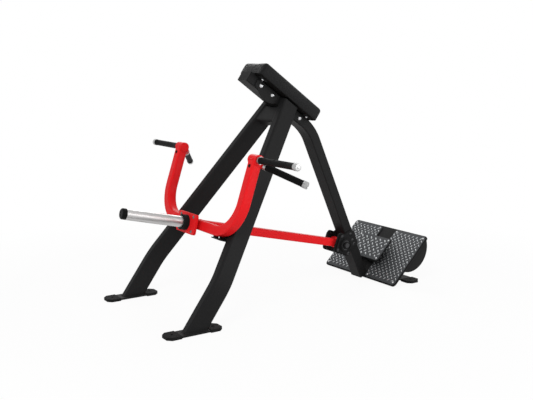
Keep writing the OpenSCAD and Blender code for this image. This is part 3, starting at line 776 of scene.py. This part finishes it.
FINISHES: dict[Slot, Finish] = {
    Slot.FRAME_BLACK: PowderCoat("satin_black_powder", (0.0122, 0.0122, 0.0124), 0.48),
    Slot.LEVER_RED: PowderCoat(
        "gloss_red_powder", (0.72, 0.012, 0.015), 0.34, worn_and_lit=(0.78, 0.021, 0.025),
        grain=420.0, grain_depth=0.00003, coat=0.03, edge=0.0016, gloss=0.05,
    ),
    Slot.VINYL_BLACK: Vinyl("black_vinyl", (0.0048, 0.0048, 0.005), 0.5),
    Slot.BOARD_WOOD: StainedPlywood("stained_plywood", (0.0045, 0.0043, 0.0041), 0.75),
    Slot.TREAD_GREY: TreadMetal("tread_sheet", (0.043, 0.046, 0.049), 0.5),
    Slot.RUBBER_BLACK: Rubber("black_rubber", (0.009, 0.009, 0.0092), 0.7),
    Slot.GRIP_RUBBER: PebbledRubber("grip_rubber", (0.0045, 0.0045, 0.0047), 0.62),
    Slot.PLASTIC_BLACK: Rubber(
        "moulded_plastic", (0.0038, 0.0038, 0.004), 0.4,
        grain=1300.0, grain_depth=0.00003, dust_and_edge_highlight=1.4,
    ),
    Slot.HOUSING_CAST: CastIron("painted_casting", (0.008, 0.008, 0.0082), 0.5),
    Slot.ZINC_BOLT: BareMetal("zinc_plated", (0.72, 0.73, 0.74), 0.26),
    Slot.SHAFT_STEEL: BareMetal("oiled_steel", (0.06, 0.06, 0.062), 0.45),
    Slot.HORN_CHROME: BareMetal(
        "satin_chrome_horn", (0.56, 0.55, 0.546), 0.36, streaks=(3.0, 1100.0, 1100.0),
        turn=(0.0, math.radians(-LEVER_RISE), 0.0), spread=0.1, dull=0.86,
    ),
    Slot.ALU_SILVER: BareMetal("turned_aluminium", (0.50, 0.50, 0.50), 0.3, dull=0.7),
}
TREAD_BAR_FINISH = TreadMetal(
    "tread_bar_tops", (0.30, 0.31, 0.32), 0.36, bright=(0.60, 0.61, 0.62), metallic=0.8
)
DULL_BOLT_FINISH = BareMetal("dull_bolts", (0.24, 0.22, 0.22), 0.5)
DULL_BOLT_NODE = "flange_bolts"


class FinishShelf:
    """Materials made once each and handed to the pieces."""

    def __init__(self) -> None:
        """Make every material."""
        self.made = {slot: finish.material() for slot, finish in FINISHES.items()}
        self.bar_tops = TREAD_BAR_FINISH.material()
        self.dull_bolts = DULL_BOLT_FINISH.material()

    def dress_nodes(self, frame: dict[str, Any]) -> None:
        """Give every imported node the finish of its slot.

        Args:
            frame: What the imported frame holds.
        """
        for part in frame["record"]["subparts"]:
            node = part["node"]
            usual = self.made[Slot(part["material_slot"])]
            mesh = frame["nodes"][node].data
            mesh.materials.clear()
            mesh.materials.append(self.dull_bolts if node == DULL_BOLT_NODE else usual)
        LOG.info("dressed %d nodes", len(frame["nodes"]))

    def dress(
        self,
        piece: bpy.types.Object,
        slot: Slot,
        body: Body,
        material: bpy.types.Material | None = None,
    ) -> None:
        """Give a new piece its finish and the body that carries it.

        Args:
            piece: The piece.
            slot: The record's slot it belongs to.
            body: The body it rides on.
            material: A material in place of the slot's own.
        """
        piece.data.materials.clear()
        piece.data.materials.append(material or self.made[slot])
        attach(piece, body.value)
        LOG.info("%s: %d faces, on %s", piece.name, len(piece.data.polygons), body.value)


# Modelling steps


def deselect() -> None:
    """Leave nothing selected."""
    bpy.ops.object.select_all(action="DESELECT")


def make_active(piece: bpy.types.Object) -> None:
    """Select one object alone and make it the active one.

    Args:
        piece: The object.
    """
    deselect()
    piece.select_set(True)
    bpy.context.view_layer.objects.active = piece


def set_place(piece: bpy.types.Object, place: Matrix) -> None:
    """Move a piece's mesh to its place and leave its object at the origin.

    Args:
        piece: The piece, modelled in its own frame.
        place: The frame it belongs to.
    """
    make_active(piece)
    piece.matrix_world = place
    bpy.ops.object.transform_apply(location=True, rotation=True, scale=True)


def leave_edit() -> None:
    """Go back to object mode."""
    bpy.ops.object.mode_set(mode="OBJECT")


def clear_picks(piece: bpy.types.Object, kind: Pick) -> None:
    """Deselect a piece's whole mesh, ready for new picks.

    Args:
        piece: The piece, left active and in object mode.
        kind: What is picked next.
    """
    make_active(piece)
    bpy.ops.object.mode_set(mode="EDIT")
    bpy.ops.mesh.select_mode(type=kind.value)
    bpy.ops.mesh.select_all(action="DESELECT")
    leave_edit()


def pick_faces(piece: bpy.types.Object, wanted: Callable[[bpy.types.MeshPolygon], bool]) -> None:
    """Open a piece in edit mode with some of its faces selected.

    Args:
        piece: The piece.
        wanted: Says which faces.
    """
    clear_picks(piece, Pick.FACES)
    for face in piece.data.polygons:
        face.select = wanted(face)
    bpy.ops.object.mode_set(mode="EDIT")


def pick_edges(piece: bpy.types.Object, wanted: Callable[[Vector, Vector], bool]) -> None:
    """Open a piece in edit mode with some of its edges selected.

    Args:
        piece: The piece.
        wanted: Says which edges, from their two ends.
    """
    clear_picks(piece, Pick.EDGES)
    for edge in piece.data.edges:
        first, second = (piece.data.vertices[i].co for i in edge.vertices)
        edge.select = wanted(first, second)
    bpy.ops.object.mode_set(mode="EDIT")


def is_upright(first: Vector, second: Vector) -> bool:
    """Say whether an edge of a block runs up or down."""
    return abs(first.z - second.z) > NEAR


def bevel_picked(width: float, segments: int) -> None:
    """Round the picked edges and leave edit mode."""
    bpy.ops.mesh.bevel(offset=width, segments=segments, affect="EDGES")
    leave_edit()


def close_edit(smooth_degrees: float | None = None) -> None:
    """Make the normals point out, leave edit mode and smooth the shading.

    Args:
        smooth_degrees: Steepest corner that is shaded smooth.
    """
    bpy.ops.mesh.select_all(action="SELECT")
    bpy.ops.mesh.normals_make_consistent(inside=False)
    leave_edit()
    if smooth_degrees is not None:
        bpy.ops.object.shade_smooth_by_angle(angle=math.radians(smooth_degrees))


def apply_modifier(piece: bpy.types.Object, name: str) -> None:
    """Apply one modifier of a piece."""
    make_active(piece)
    bpy.ops.object.modifier_apply(modifier=name)


def relax(piece: bpy.types.Object, rounds: int) -> None:
    """Even out a piece's skin.

    Args:
        piece: The piece.
        rounds: How often each point moves half way to its neighbours.
    """
    even = piece.modifiers.new("relax", "SMOOTH")
    even.factor = 0.5
    even.iterations = rounds
    apply_modifier(piece, even.name)


def add_block(name: str, size: Point, centre: Point) -> bpy.types.Object:
    """Start a piece from a block.

    Args:
        name: The piece's name.
        size: Its sides.
        centre: Its middle.

    Returns:
        The block, with its scale applied.
    """
    deselect()
    bpy.ops.mesh.primitive_cube_add(size=1, location=centre, scale=size)
    bpy.ops.object.transform_apply(location=True, rotation=True, scale=True)
    block = bpy.context.object
    block.name = name
    return block


def turn_piece(name: str, profile: Outline, segments: int = 48) -> bpy.types.Object:
    """Turn a closed piece about +Z by extruding and scaling a disc.

    Args:
        name: The piece's name.
        profile: Height and radius from one end to the other.
        segments: Sides of the round.

    Returns:
        The piece.
    """
    deselect()
    height, radius = profile[0]
    bpy.ops.mesh.primitive_circle_add(
        vertices=segments, radius=radius, fill_type="NGON", location=(0, 0, height)
    )
    bpy.ops.object.transform_apply(location=True)
    piece = bpy.context.object
    piece.name = name
    bpy.ops.object.mode_set(mode="EDIT")
    bpy.ops.mesh.select_all(action="SELECT")
    for (low, inner), (high, outer) in pairwise(profile):
        bpy.ops.mesh.extrude_region_move(TRANSFORM_OT_translate={"value": (0, 0, high - low)})
        share = outer / inner
        bpy.ops.transform.resize(value=(share, share, 1), center_override=(0, 0, high))
    close_edit(TURNED_SMOOTH)
    return piece


def copy_to(piece: bpy.types.Object, place: Matrix) -> bpy.types.Object:
    """Copy a piece with its own mesh.

    Args:
        piece: The piece to copy.
        place: Where the copy goes, from the piece's own frame.

    Returns:
        The copy, with its place in its mesh.
    """
    twin = piece.copy()
    twin.data = piece.data.copy()
    twin.data.transform(place)
    bpy.context.collection.objects.link(twin)
    return twin


def join(name: str, pieces: Sequence[bpy.types.Object]) -> bpy.types.Object:
    """Join pieces into one object.

    Args:
        name: Name of the whole.
        pieces: What is joined.

    Returns:
        The whole.
    """
    deselect()
    for piece in pieces:
        piece.select_set(True)
    bpy.context.view_layer.objects.active = pieces[0]
    bpy.ops.object.join()
    pieces[0].name = name
    return pieces[0]


def remove(piece: bpy.types.Object) -> None:
    """Delete a pattern piece that has been copied."""
    bpy.data.objects.remove(piece)


def rounded_outline(length: float, width: float, radius: float, steps: int = 6) -> Outline:
    """Points of a rectangle with round corners.

    Args:
        length: Size along the first axis.
        width: Size along the second axis.
        radius: Corner radius.
        steps: Steps of each corner.

    Returns:
        The points, in order and not closed.
    """
    points = []
    for corner, (sx, sy) in enumerate(((1, 1), (-1, 1), (-1, -1), (1, -1))):
        for step in range(steps + 1):
            turn = math.radians(90 * (corner + step / steps))
            points.append((
                sx * (length / 2 - radius) + radius * math.cos(turn),
                sy * (width / 2 - radius) + radius * math.sin(turn),
            ))
    return points


# Pieces


@dataclass
class ChestPad:
    """Foam cushion in vinyl, drawn round the edges of its board."""

    length: float = 0.397
    width: float = 0.193
    height: float = 0.067
    corner: float = 0.014
    rim: float = 0.015
    board: float = 0.012
    wrap: float = 0.0055
    shy: float = 0.0035
    hem: float = 0.003
    seat_margin: float = 0.002
    voxel: float = 0.0045
    most_swell: float = 0.006
    swell_frames: int = 8
    pressure: float = 4.0
    air_damping: float = 10.0
    stretch: float = 40.0
    shear: float = 20.0

    def build(self, shelf: FinishShelf) -> None:
        """Make the cushion and put it in its place.

        Args:
            shelf: The finishes.
        """
        pad = self._block()
        self._even_mesh(pad)
        self._swell(pad)
        self._smooth(pad)
        set_place(pad, PAD_FRAME)
        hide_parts("chest_pad")
        shelf.dress(pad, Slot.VINYL_BLACK, Body.FRAME)

    def _block(self) -> bpy.types.Object:
        """Cut the foam.

        Returns:
            A block with round corners, a soft rim and a seat for the board.
        """
        top = self.height - self.shy
        size = (self.length - 2 * self.shy, self.width - 2 * self.shy, top)
        pad = add_block("chest_cushion", size, (self.length / 2, 0, top / 2))
        pick_edges(pad, is_upright)
        bevel_picked(self.corner, 8)
        pick_edges(pad, lambda a, b: min(a.z, b.z) > top - NEAR)
        bevel_picked(self.rim, 5)
        pick_faces(pad, lambda face: face.normal.z < -FACING)
        bpy.ops.mesh.inset(thickness=self.wrap)
        bpy.ops.mesh.extrude_region_move(TRANSFORM_OT_translate={"value": (0, 0, self.board)})
        close_edit()
        return pad

    def _even_mesh(self, pad: bpy.types.Object) -> None:
        """Give the foam an even mesh.

        Args:
            pad: The cushion.
        """
        remesh = pad.modifiers.new("even", "REMESH")
        remesh.mode = "VOXEL"
        remesh.voxel_size = self.voxel
        apply_modifier(pad, remesh.name)
        relax(pad, 3)

    def _is_held(self, spot: Vector) -> bool:
        """Say whether the board holds a point of the vinyl.

        Args:
            spot: The point.

        Returns:
            Whether it lies on the hem or in the board's seat.
        """
        inside = self.wrap + self.shy + self.seat_margin
        in_seat = (
            spot.z < self.board + 0.5 * self.voxel
            and abs(spot.y) < self.width / 2 - inside
            and abs(spot.x - self.length / 2) < self.length / 2 - inside
        )
        return spot.z < self.hem or in_seat

    def _swell(self, pad: bpy.types.Object) -> None:
        """Let the vinyl swell over the foam, held along the board.

        Args:
            pad: The cushion.
        """
        rest = [v.co.copy() for v in pad.data.vertices]
        held = pad.vertex_groups.new(name="held")
        held.add([i for i, spot in enumerate(rest) if self._is_held(spot)], 1.0, "REPLACE")
        cloth = pad.modifiers.new("swell", "CLOTH")
        settings = cloth.settings
        settings.quality = 5
        settings.vertex_group_mass = held.name
        settings.use_pressure = True
        settings.uniform_pressure_force = self.pressure
        settings.effector_weights.gravity = 0.0
        settings.air_damping = self.air_damping
        settings.tension_stiffness = self.stretch
        settings.compression_stiffness = self.stretch
        settings.shear_stiffness = self.shear
        cloth.point_cache.frame_start = 1
        cloth.point_cache.frame_end = self.swell_frames
        for step in range(1, self.swell_frames + 1):
            bpy.context.scene.frame_set(step)
        apply_modifier(pad, cloth.name)
        for vertex, start in zip(pad.data.vertices, rest):
            move = vertex.co - start
            if move.length > self.most_swell:
                vertex.co = start + move * (self.most_swell / move.length)

    @staticmethod
    def _smooth(pad: bpy.types.Object) -> None:
        """Even out the skin and refine it once.

        Args:
            pad: The cushion.
        """
        relax(pad, 2)
        fine = pad.modifiers.new("fine", "SUBSURF")
        fine.levels = fine.render_levels = 1
        apply_modifier(pad, fine.name)
        bpy.ops.object.shade_smooth()


@dataclass(frozen=True)
class TreadSheet:
    """Place and size of a tread sheet on the sloped plate, and the scale of its pattern."""

    name: str
    middle: Point
    size: Span
    coarse: float = 1.0


TREAD_SHEETS = (
    TreadSheet("left_tread_bars", (0.1605, -0.163, 0.005), (0.309, 0.220)),
    TreadSheet("right_tread_bars", (0.1605, 0.163, 0.005), (0.309, 0.220)),
    TreadSheet("step_tread_bars", (0.156, 0, 0.054), (0.138, 0.236), coarse=1.22),
)


@dataclass
class TreadBars:
    """Raised bars of the tread sheets, in rows that lean left and right by turns."""

    row_pitch: float = 0.0135
    bar_pitch: float = 0.029
    lean: float = 45
    length: float = 0.0142
    width: float = 0.0058
    height: float = 0.0017
    sunk: float = 0.0003
    corner_share: float = 0.46
    flank_share: float = 0.24
    rim_from: float = 0.36
    rim_height: float = 0.45
    reach_share: float = 0.36
    edge: float = 0.001
    bolt_inset: float = 0.013
    bolt_clear: float = 0.010

    def build(self, shelf: FinishShelf) -> None:
        """Cover the two treads and the step.

        Args:
            shelf: The finishes.
        """
        bar = self._bar()
        for sheet in TREAD_SHEETS:
            place = PLATE_FRAME @ Matrix.Translation(sheet.middle)
            bars = [copy_to(bar, place @ spot) for spot in self._spots(sheet)]
            shelf.dress(join(sheet.name, bars), Slot.TREAD_GREY, Body.FRAME, shelf.bar_tops)
        remove(bar)

    def _bar(self) -> bpy.types.Object:
        """Model one bar.

        Returns:
            A lens-shaped ridge with sloping flanks.
        """
        bar = add_block("tread_bar", (self.length, self.width, self.height * 2), (0, 0, 0))
        pick_edges(bar, is_upright)
        bevel_picked(self.width * self.corner_share, 3)
        pick_faces(bar, lambda face: face.normal.z > FACING)
        bpy.ops.mesh.inset(thickness=self.width * self.flank_share)
        leave_edit()
        top = max(v.co.z for v in bar.data.vertices)
        for vertex in bar.data.vertices:
            if vertex.co.z > 0 and self._is_rim(vertex.co):
                vertex.co.z = top * self.rim_height
            vertex.co.z = max(vertex.co.z, -self.sunk)
        make_active(bar)
        bpy.ops.object.shade_smooth_by_angle(angle=math.radians(BAR_SMOOTH))
        return bar

    def _is_rim(self, spot: Vector) -> bool:
        """Say whether a top point lies on the bar's outer outline."""
        past = max(0.0, abs(spot.x) - (self.length - self.width) / 2)
        return math.hypot(past, spot.y) > self.width * self.rim_from

    def _spots(self, sheet: TreadSheet) -> Iterator[Matrix]:
        """Places of the bars on one sheet, clear of its edges and corner bolts.

        Args:
            sheet: The sheet.

        Yields:
            The place and scale of each bar from the middle of the sheet.
        """
        coarse = sheet.coarse
        half_up, half_across = sheet.size[0] / 2, sheet.size[1] / 2
        reach = self.length * coarse * self.reach_share + self.edge
        row_pitch, bar_pitch = self.row_pitch * coarse, self.bar_pitch * coarse
        rows = math.floor((half_up - reach) / row_pitch)
        count = math.ceil(sheet.size[1] / bar_pitch)
        larger = Matrix.Diagonal((coarse, coarse, 1.0, 1.0))
        for row in range(-rows, rows + 1):
            odd = row % 2
            up = row * row_pitch
            turn = Matrix.Rotation(math.radians(self.lean if odd else -self.lean), 4, "Z")
            for step in range(-count, count + 1):
                across = (step + 0.5 * odd) * bar_pitch
                to_bolt = math.hypot(
                    half_up - abs(up) - self.bolt_inset,
                    half_across - abs(across) - self.bolt_inset,
                )
                if abs(across) <= half_across - reach and to_bolt >= self.bolt_clear:
                    yield Matrix.Translation((up, across, 0)) @ turn @ larger


@dataclass
class Grips:
    """Rubber sleeves and turned aluminium ends of the four grips."""

    radius: float = 0.015
    outer_length: float = 0.244
    angled_length: float = 0.176
    outer_root: float = 0.011
    angled_root: float = 0.035
    bead: tuple[Span, ...] = ((0.0, 0.0012), (0.0006, 0.0), (0.0064, 0.0), (0.0076, 0.0006))
    cap_radius: float = 0.016
    cap_length: float = 0.021

    def build(self, shelf: FinishShelf) -> None:
        """Make the sleeves of each side and the four end caps.

        Args:
            shelf: The finishes.
        """
        caps = []
        cap = turn_piece("grip_cap", self._cap_profile())
        for side, name in ((-1, "left_grips"), (1, "right_grips")):
            sleeves = []
            for place, root, length in (
                (outer_grip_frame(side), self.outer_root, self.outer_length),
                (angled_grip_frame(side), self.angled_root, self.angled_length),
            ):
                sleeve = turn_piece("grip_sleeve", self._sleeve_profile(length))
                set_place(sleeve, place @ Matrix.Translation((0, 0, root)))
                sleeves.append(sleeve)
                caps.append(copy_to(cap, place @ Matrix.Translation((0, 0, root + length))))
            pair = join(name.replace("grips", "grip_sleeves"), sleeves)
            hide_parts(name)
            shelf.dress(pair, Slot.GRIP_RUBBER, Body.LEVER)
        remove(cap)
        ends = join("turned_grip_caps", caps)
        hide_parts("grip_end_caps")
        shelf.dress(ends, Slot.ALU_SILVER, Body.LEVER)

    def _sleeve_profile(self, length: float) -> Outline:
        """Outline of a sleeve.

        Args:
            length: The sleeve's length.

        Returns:
            Height and radius, with a bead at each end.
        """
        near = [(along, self.radius - inset) for along, inset in self.bead]
        middle = [(length * share, near[-1][1]) for share in (0.25, 0.5, 0.75)]
        far = [(length - along, radius) for along, radius in reversed(near)]
        return [*near, *middle, *far]

    def _cap_profile(self) -> Outline:
        """Outline of an end cap.

        Returns:
            Height and radius, with a groove round the cap and a dished face.
        """
        wide, end = self.cap_radius, self.cap_length
        return [
            (0.0, wide - 0.0008), (0.0008, wide), (0.0040, wide), (0.0046, wide - 0.0007),
            (0.0056, wide - 0.0007), (0.0062, wide), (end - 0.0028, wide),
            (end - 0.0008, wide - 0.0010), (end, wide - 0.0028), (end, wide - 0.0052),
            (end - 0.0012, wide - 0.0062), (end - 0.0012, 0.0045), (end - 0.0007, 0.0030),
        ]


@dataclass
class HornCap:
    """Moulded plug in the end of the weight horn."""

    radius: float = 0.0245
    length: float = 0.020
    segments: int = 56
    horn: float = 0.298

    def build(self, shelf: FinishShelf) -> None:
        """Make the plug and put it in the horn.

        Args:
            shelf: The finishes.
        """
        wide, end = self.radius, self.length
        profile = [
            (0.0, wide - 0.0010), (0.0009, wide), (end - 0.0062, wide),
            (end - 0.0030, wide - 0.0010), (end - 0.0008, wide - 0.0034),
            (end, wide - 0.0066), (end, wide * 0.46),
            (end - 0.0010, wide * 0.42), (end - 0.0010, wide * 0.12),
        ]
        plug = turn_piece("horn_plug", profile, self.segments)
        set_place(plug, HORN_FRAME @ Matrix.Translation((0, 0, self.horn)))
        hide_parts("horn_end_cap")
        shelf.dress(plug, Slot.PLASTIC_BLACK, Body.LEVER)


Seam = tuple[list[Vector], bool]


@dataclass
class WeldSeams:
    """Beads of weld along the joints of the tubes and plates."""

    radius: float = 0.0026
    ripple: float = 0.0032
    ripple_low: float = 0.82
    leg_spot: Point = (-0.59692, 0.314, 0.0105)
    leg_section: Section = (0.10687, 0.045, 0.0105)
    post_spot: Point = (0.70676, 0, 0.0105)
    post_section: Section = (0.06, 0.08, 0.008)
    riser_along: float = 0.156
    riser_levels: Span = (0.0, 0.043)
    riser_section: Section = (0.092, 0.08, 0.008)
    cheek_run: Span = (0.101, 0.311)
    cheek_faces: Span = (0.257, 0.265)
    cheek_depth: float = 0.006
    strut_edge: tuple[Span, ...] = (
        (0.002, 0.04), (0.0325, 0.04), (0.0367, 0.0382), (0.0385, 0.034)
    )
    lever_section: Section = (0.05, 0.04, 0.007)
    arm_section: Section = (ARM_SIDE, ARM_SIDE, 0.007)
    yoke_shift: float = 0.0019
    stub_end: float = 0.8875
    sleeve_radius: float = 0.0285
    socket_steps: int = 40

    def build(self, shelf: FinishShelf) -> None:
        """Lay the black and the red seams.

        Args:
            shelf: The finishes.
        """
        black = [self._bead(path, loop) for path, loop in self._frame_seams()]
        shelf.dress(join("frame_weld_seams", black), Slot.FRAME_BLACK, Body.FRAME)
        red = [self._bead(path, loop) for path, loop in self._lever_seams()]
        shelf.dress(join("lever_weld_seams", red), Slot.LEVER_RED, Body.LEVER)

    def _bead(self, path: Sequence[Vector], loop: bool) -> bpy.types.Object:
        """Lay one bead.

        Args:
            path: Corners of its line.
            loop: Whether it runs back to its start.

        Returns:
            The bead as a mesh.
        """
        steps = []
        ends = [*path, path[0]] if loop else list(path)
        for first, second in pairwise(ends):
            count = max(1, round((second - first).length / self.ripple))
            steps.extend(first.lerp(second, i / count) for i in range(count))
        if not loop:
            steps.append(ends[-1])
        curve = bpy.data.curves.new("weld", "CURVE")
        curve.dimensions = "3D"
        curve.bevel_depth = self.radius
        curve.bevel_resolution = 2
        curve.use_fill_caps = True
        line = curve.splines.new("POLY")
        line.points.add(len(steps) - 1)
        line.use_cyclic_u = loop
        for i, (point, spot) in enumerate(zip(line.points, steps)):
            point.co = (*spot, 1.0)
            point.radius = 1.0 if i % 2 else self.ripple_low
        bead = bpy.data.objects.new("weld", curve)
        bpy.context.collection.objects.link(bead)
        make_active(bead)
        bpy.ops.object.convert(target="MESH")
        bead = bpy.context.object
        bpy.ops.object.shade_smooth()
        return bead

    def _frame_seams(self) -> Iterator[Seam]:
        """Lines of the seams on the frame.

        Yields:
            Corners of a line and whether it is closed.
        """
        leg, riser, post = (
            rounded_outline(*section)
            for section in (self.leg_section, self.riser_section, self.post_section)
        )
        ahead, aside, height = self.leg_spot
        for side in (-1, 1):
            foot = Matrix.Translation((ahead, side * aside, height))
            yield [foot @ Vector((x, y, 0)) for x, y in leg], True
            for y in self.cheek_faces:
                spots = [Vector((s, side * y, -self.cheek_depth)) for s in self.cheek_run]
                yield [PLATE_FRAME @ spot for spot in spots], False
        for level in self.riser_levels:
            spots = [Vector((self.riser_along + x, y, level)) for x, y in riser]
            yield [PLATE_FRAME @ spot for spot in spots], True
        strut = [*self.strut_edge, *((s, -y) for s, y in reversed(self.strut_edge))]
        yield [PLATE_FRAME @ Vector((s, y, 0)) for s, y in strut], False
        place = Matrix.Translation(self.post_spot)
        yield [place @ Vector((x, y, 0)) for x, y in post], True

    def _lever_seams(self) -> Iterator[Seam]:
        """Lines of the seams on the lever.

        Yields:
            Corners of a line and whether it is closed.
        """
        tube = rounded_outline(*self.lever_section)
        for end in (1, -1):
            x, z = end * ARM_SIDE / 2, end * self.yoke_shift
            yield [YOKE_FRAME @ Vector((x, y, z + h)) for y, h in tube], True
        yield [LEVER_FRAME @ Vector((-self.stub_end, y, h)) for y, h in tube], True
        yield [
            LEVER_FRAME @ Vector((-math.sqrt(self.sleeve_radius**2 - h * h), y, h))
            for y, h in tube
        ], True
        for side in (-1, 1):
            yield list(self._socket_line(side)), True
            yield list(self._angled_line(side)), True

    def _socket_line(self, side: int) -> Iterator[Vector]:
        """Line where an arm's top meets its round socket.

        Args:
            side: 1 for the right arm and -1 for the left one.

        Yields:
            Points of the line.
        """
        for x, y in rounded_outline(*self.arm_section):
            rise = math.sqrt(max(0.0, SOCKET_RADIUS**2 - x * x))
            yield YOKE_FRAME @ Vector((x, side * ARM_Y + y, SOCKET_Z - rise))

    def _angled_line(self, side: int) -> Iterator[Vector]:
        """Line where an angled socket meets the arm's rear face.

        Args:
            side: 1 for the right socket and -1 for the left one.

        Yields:
            Points of the line.
        """
        to_yoke = YOKE_FRAME.inverted() @ angled_grip_frame(side)
        axis = to_yoke.to_3x3() @ Vector((0, 0, 1))
        for step in range(self.socket_steps):
            turn = math.tau * step / self.socket_steps
            across, up = ANGLED_RADIUS * math.cos(turn), ANGLED_RADIUS * math.sin(turn)
            rim = to_yoke @ Vector((across, up, 0))
            yield YOKE_FRAME @ (rim + axis * ((ARM_SIDE / 2 - rim.x) / axis.x))


# Studio


@dataclass(frozen=True)
class SoftBox:
    """Area lamp that looks at the machine."""

    name: str
    spot: Point
    size: float
    watts: float
    mirrored: bool = True
    aim: Point = (0.0, 0.0, 0.45)

    def build(self) -> None:
        """Hang the lamp."""
        lamp = bpy.data.lights.new(self.name, "AREA")
        lamp.shape = "DISK"
        lamp.size = self.size
        lamp.energy = self.watts
        holder = bpy.data.objects.new(self.name, lamp)
        holder.location = self.spot
        holder.visible_glossy = self.mirrored
        ahead = Vector(self.aim) - Vector(self.spot)
        holder.rotation_euler = ahead.to_track_quat("-Z", "Y").to_euler()
        bpy.context.collection.objects.link(holder)


LAMPS = (
    SoftBox("key_light", (-2.6, -2.2, 3.0), 2.4, 80.0, mirrored=False),
    SoftBox("side_light", (2.0, -3.0, 1.0), 2.6, 45.0),
    SoftBox("back_light", (1.4, 2.8, 2.6), 2.2, 40.0),
)


@dataclass
class Studio:
    """Camera, floor, backdrop and lamps."""

    eye: Point = (-2.0282, -3.0262, 1.0765)
    yaw: float = 33.4
    pitch: float = -9.6
    lens: float = 51.81
    sensor: float = 36.0
    sight: float = 200.0
    ambient: float = 0.5
    floor_size: float = 60
    floor_sink: float = 0.0005
    floor_grey: float = 0.86
    floor_white: float = 0.92
    floor_reach: float = 1.3
    floor_fade: float = 0.9

    def build(self) -> None:
        """Set up the studio."""
        self._camera()
        self._world()
        self._floor()
        for lamp in LAMPS:
            lamp.build()
        bpy.context.scene.view_settings.view_transform = "Standard"

    def _camera(self) -> None:
        """Put the camera at the photograph's angle."""
        yaw, pitch = math.radians(self.yaw), math.radians(self.pitch)
        level = math.cos(pitch)
        ahead = Vector((level * math.sin(yaw), level * math.cos(yaw), math.sin(pitch)))
        data = bpy.data.cameras.new("photo_camera")
        data.sensor_fit = "HORIZONTAL"
        data.sensor_width = self.sensor
        data.lens = self.lens
        data.clip_end = self.sight
        camera = bpy.data.objects.new("photo_camera", data)
        camera.location = self.eye
        camera.rotation_euler = ahead.to_track_quat("-Z", "Y").to_euler()
        bpy.context.collection.objects.link(camera)
        bpy.context.scene.camera = camera

    def _world(self) -> None:
        """White backdrop that lights the machine softly."""
        world = bpy.data.worlds.new("studio")
        bpy.context.scene.world = world
        world.use_nodes = True
        tree = ShadeTree(world.node_tree)
        strength = self.ambient + tree.backdrop_rays() * (1.0 - self.ambient)
        sky = tree.add("ShaderNodeBackground", {}, {"Color": WHITE, "Strength": strength})
        tree.add("ShaderNodeOutputWorld", {}, {"Surface": sky})

    def _floor(self) -> None:
        """Pale floor that keeps a soft shadow and turns white further out."""
        deselect()
        bpy.ops.mesh.primitive_plane_add(size=self.floor_size, location=(0, 0, -self.floor_sink))
        floor = bpy.context.object
        floor.name = "studio_floor"
        tree = FinishTree("studio_floor")
        grey = (self.floor_grey, self.floor_grey, self.floor_grey, 1.0)
        matt = tree.add("ShaderNodeBsdfDiffuse", {}, {"Color": grey})
        glow = tree.add("ShaderNodeEmission", {}, {"Color": WHITE})
        spot = tree.add("ShaderNodeTexCoord", out="Object")
        away = tree.add("ShaderNodeVectorMath", {"operation": "LENGTH"}, {0: spot}, "Value")
        fade = ((away - self.floor_reach) * (1.0 / self.floor_fade)).held(0.0, 1.0)
        share = tree.backdrop_rays() * (self.floor_white + fade * (1.0 - self.floor_white))
        both = tree.add("ShaderNodeMixShader", {}, {0: share, 1: matt, 2: glow})
        tree.add("ShaderNodeOutputMaterial", {}, {"Surface": both})
        floor.data.materials.append(tree.material)


def main() -> None:
    """Load the frame, dress it and set up the studio."""
    logging.basicConfig(level=logging.INFO, format="%(message)s")
    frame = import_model()
    shelf = FinishShelf()
    shelf.dress_nodes(frame)
    for assembly in (ChestPad(), TreadBars(), Grips(), HornCap(), WeldSeams()):
        assembly.build(shelf)
    Studio().build()


if __name__ == "__main__":
    main()
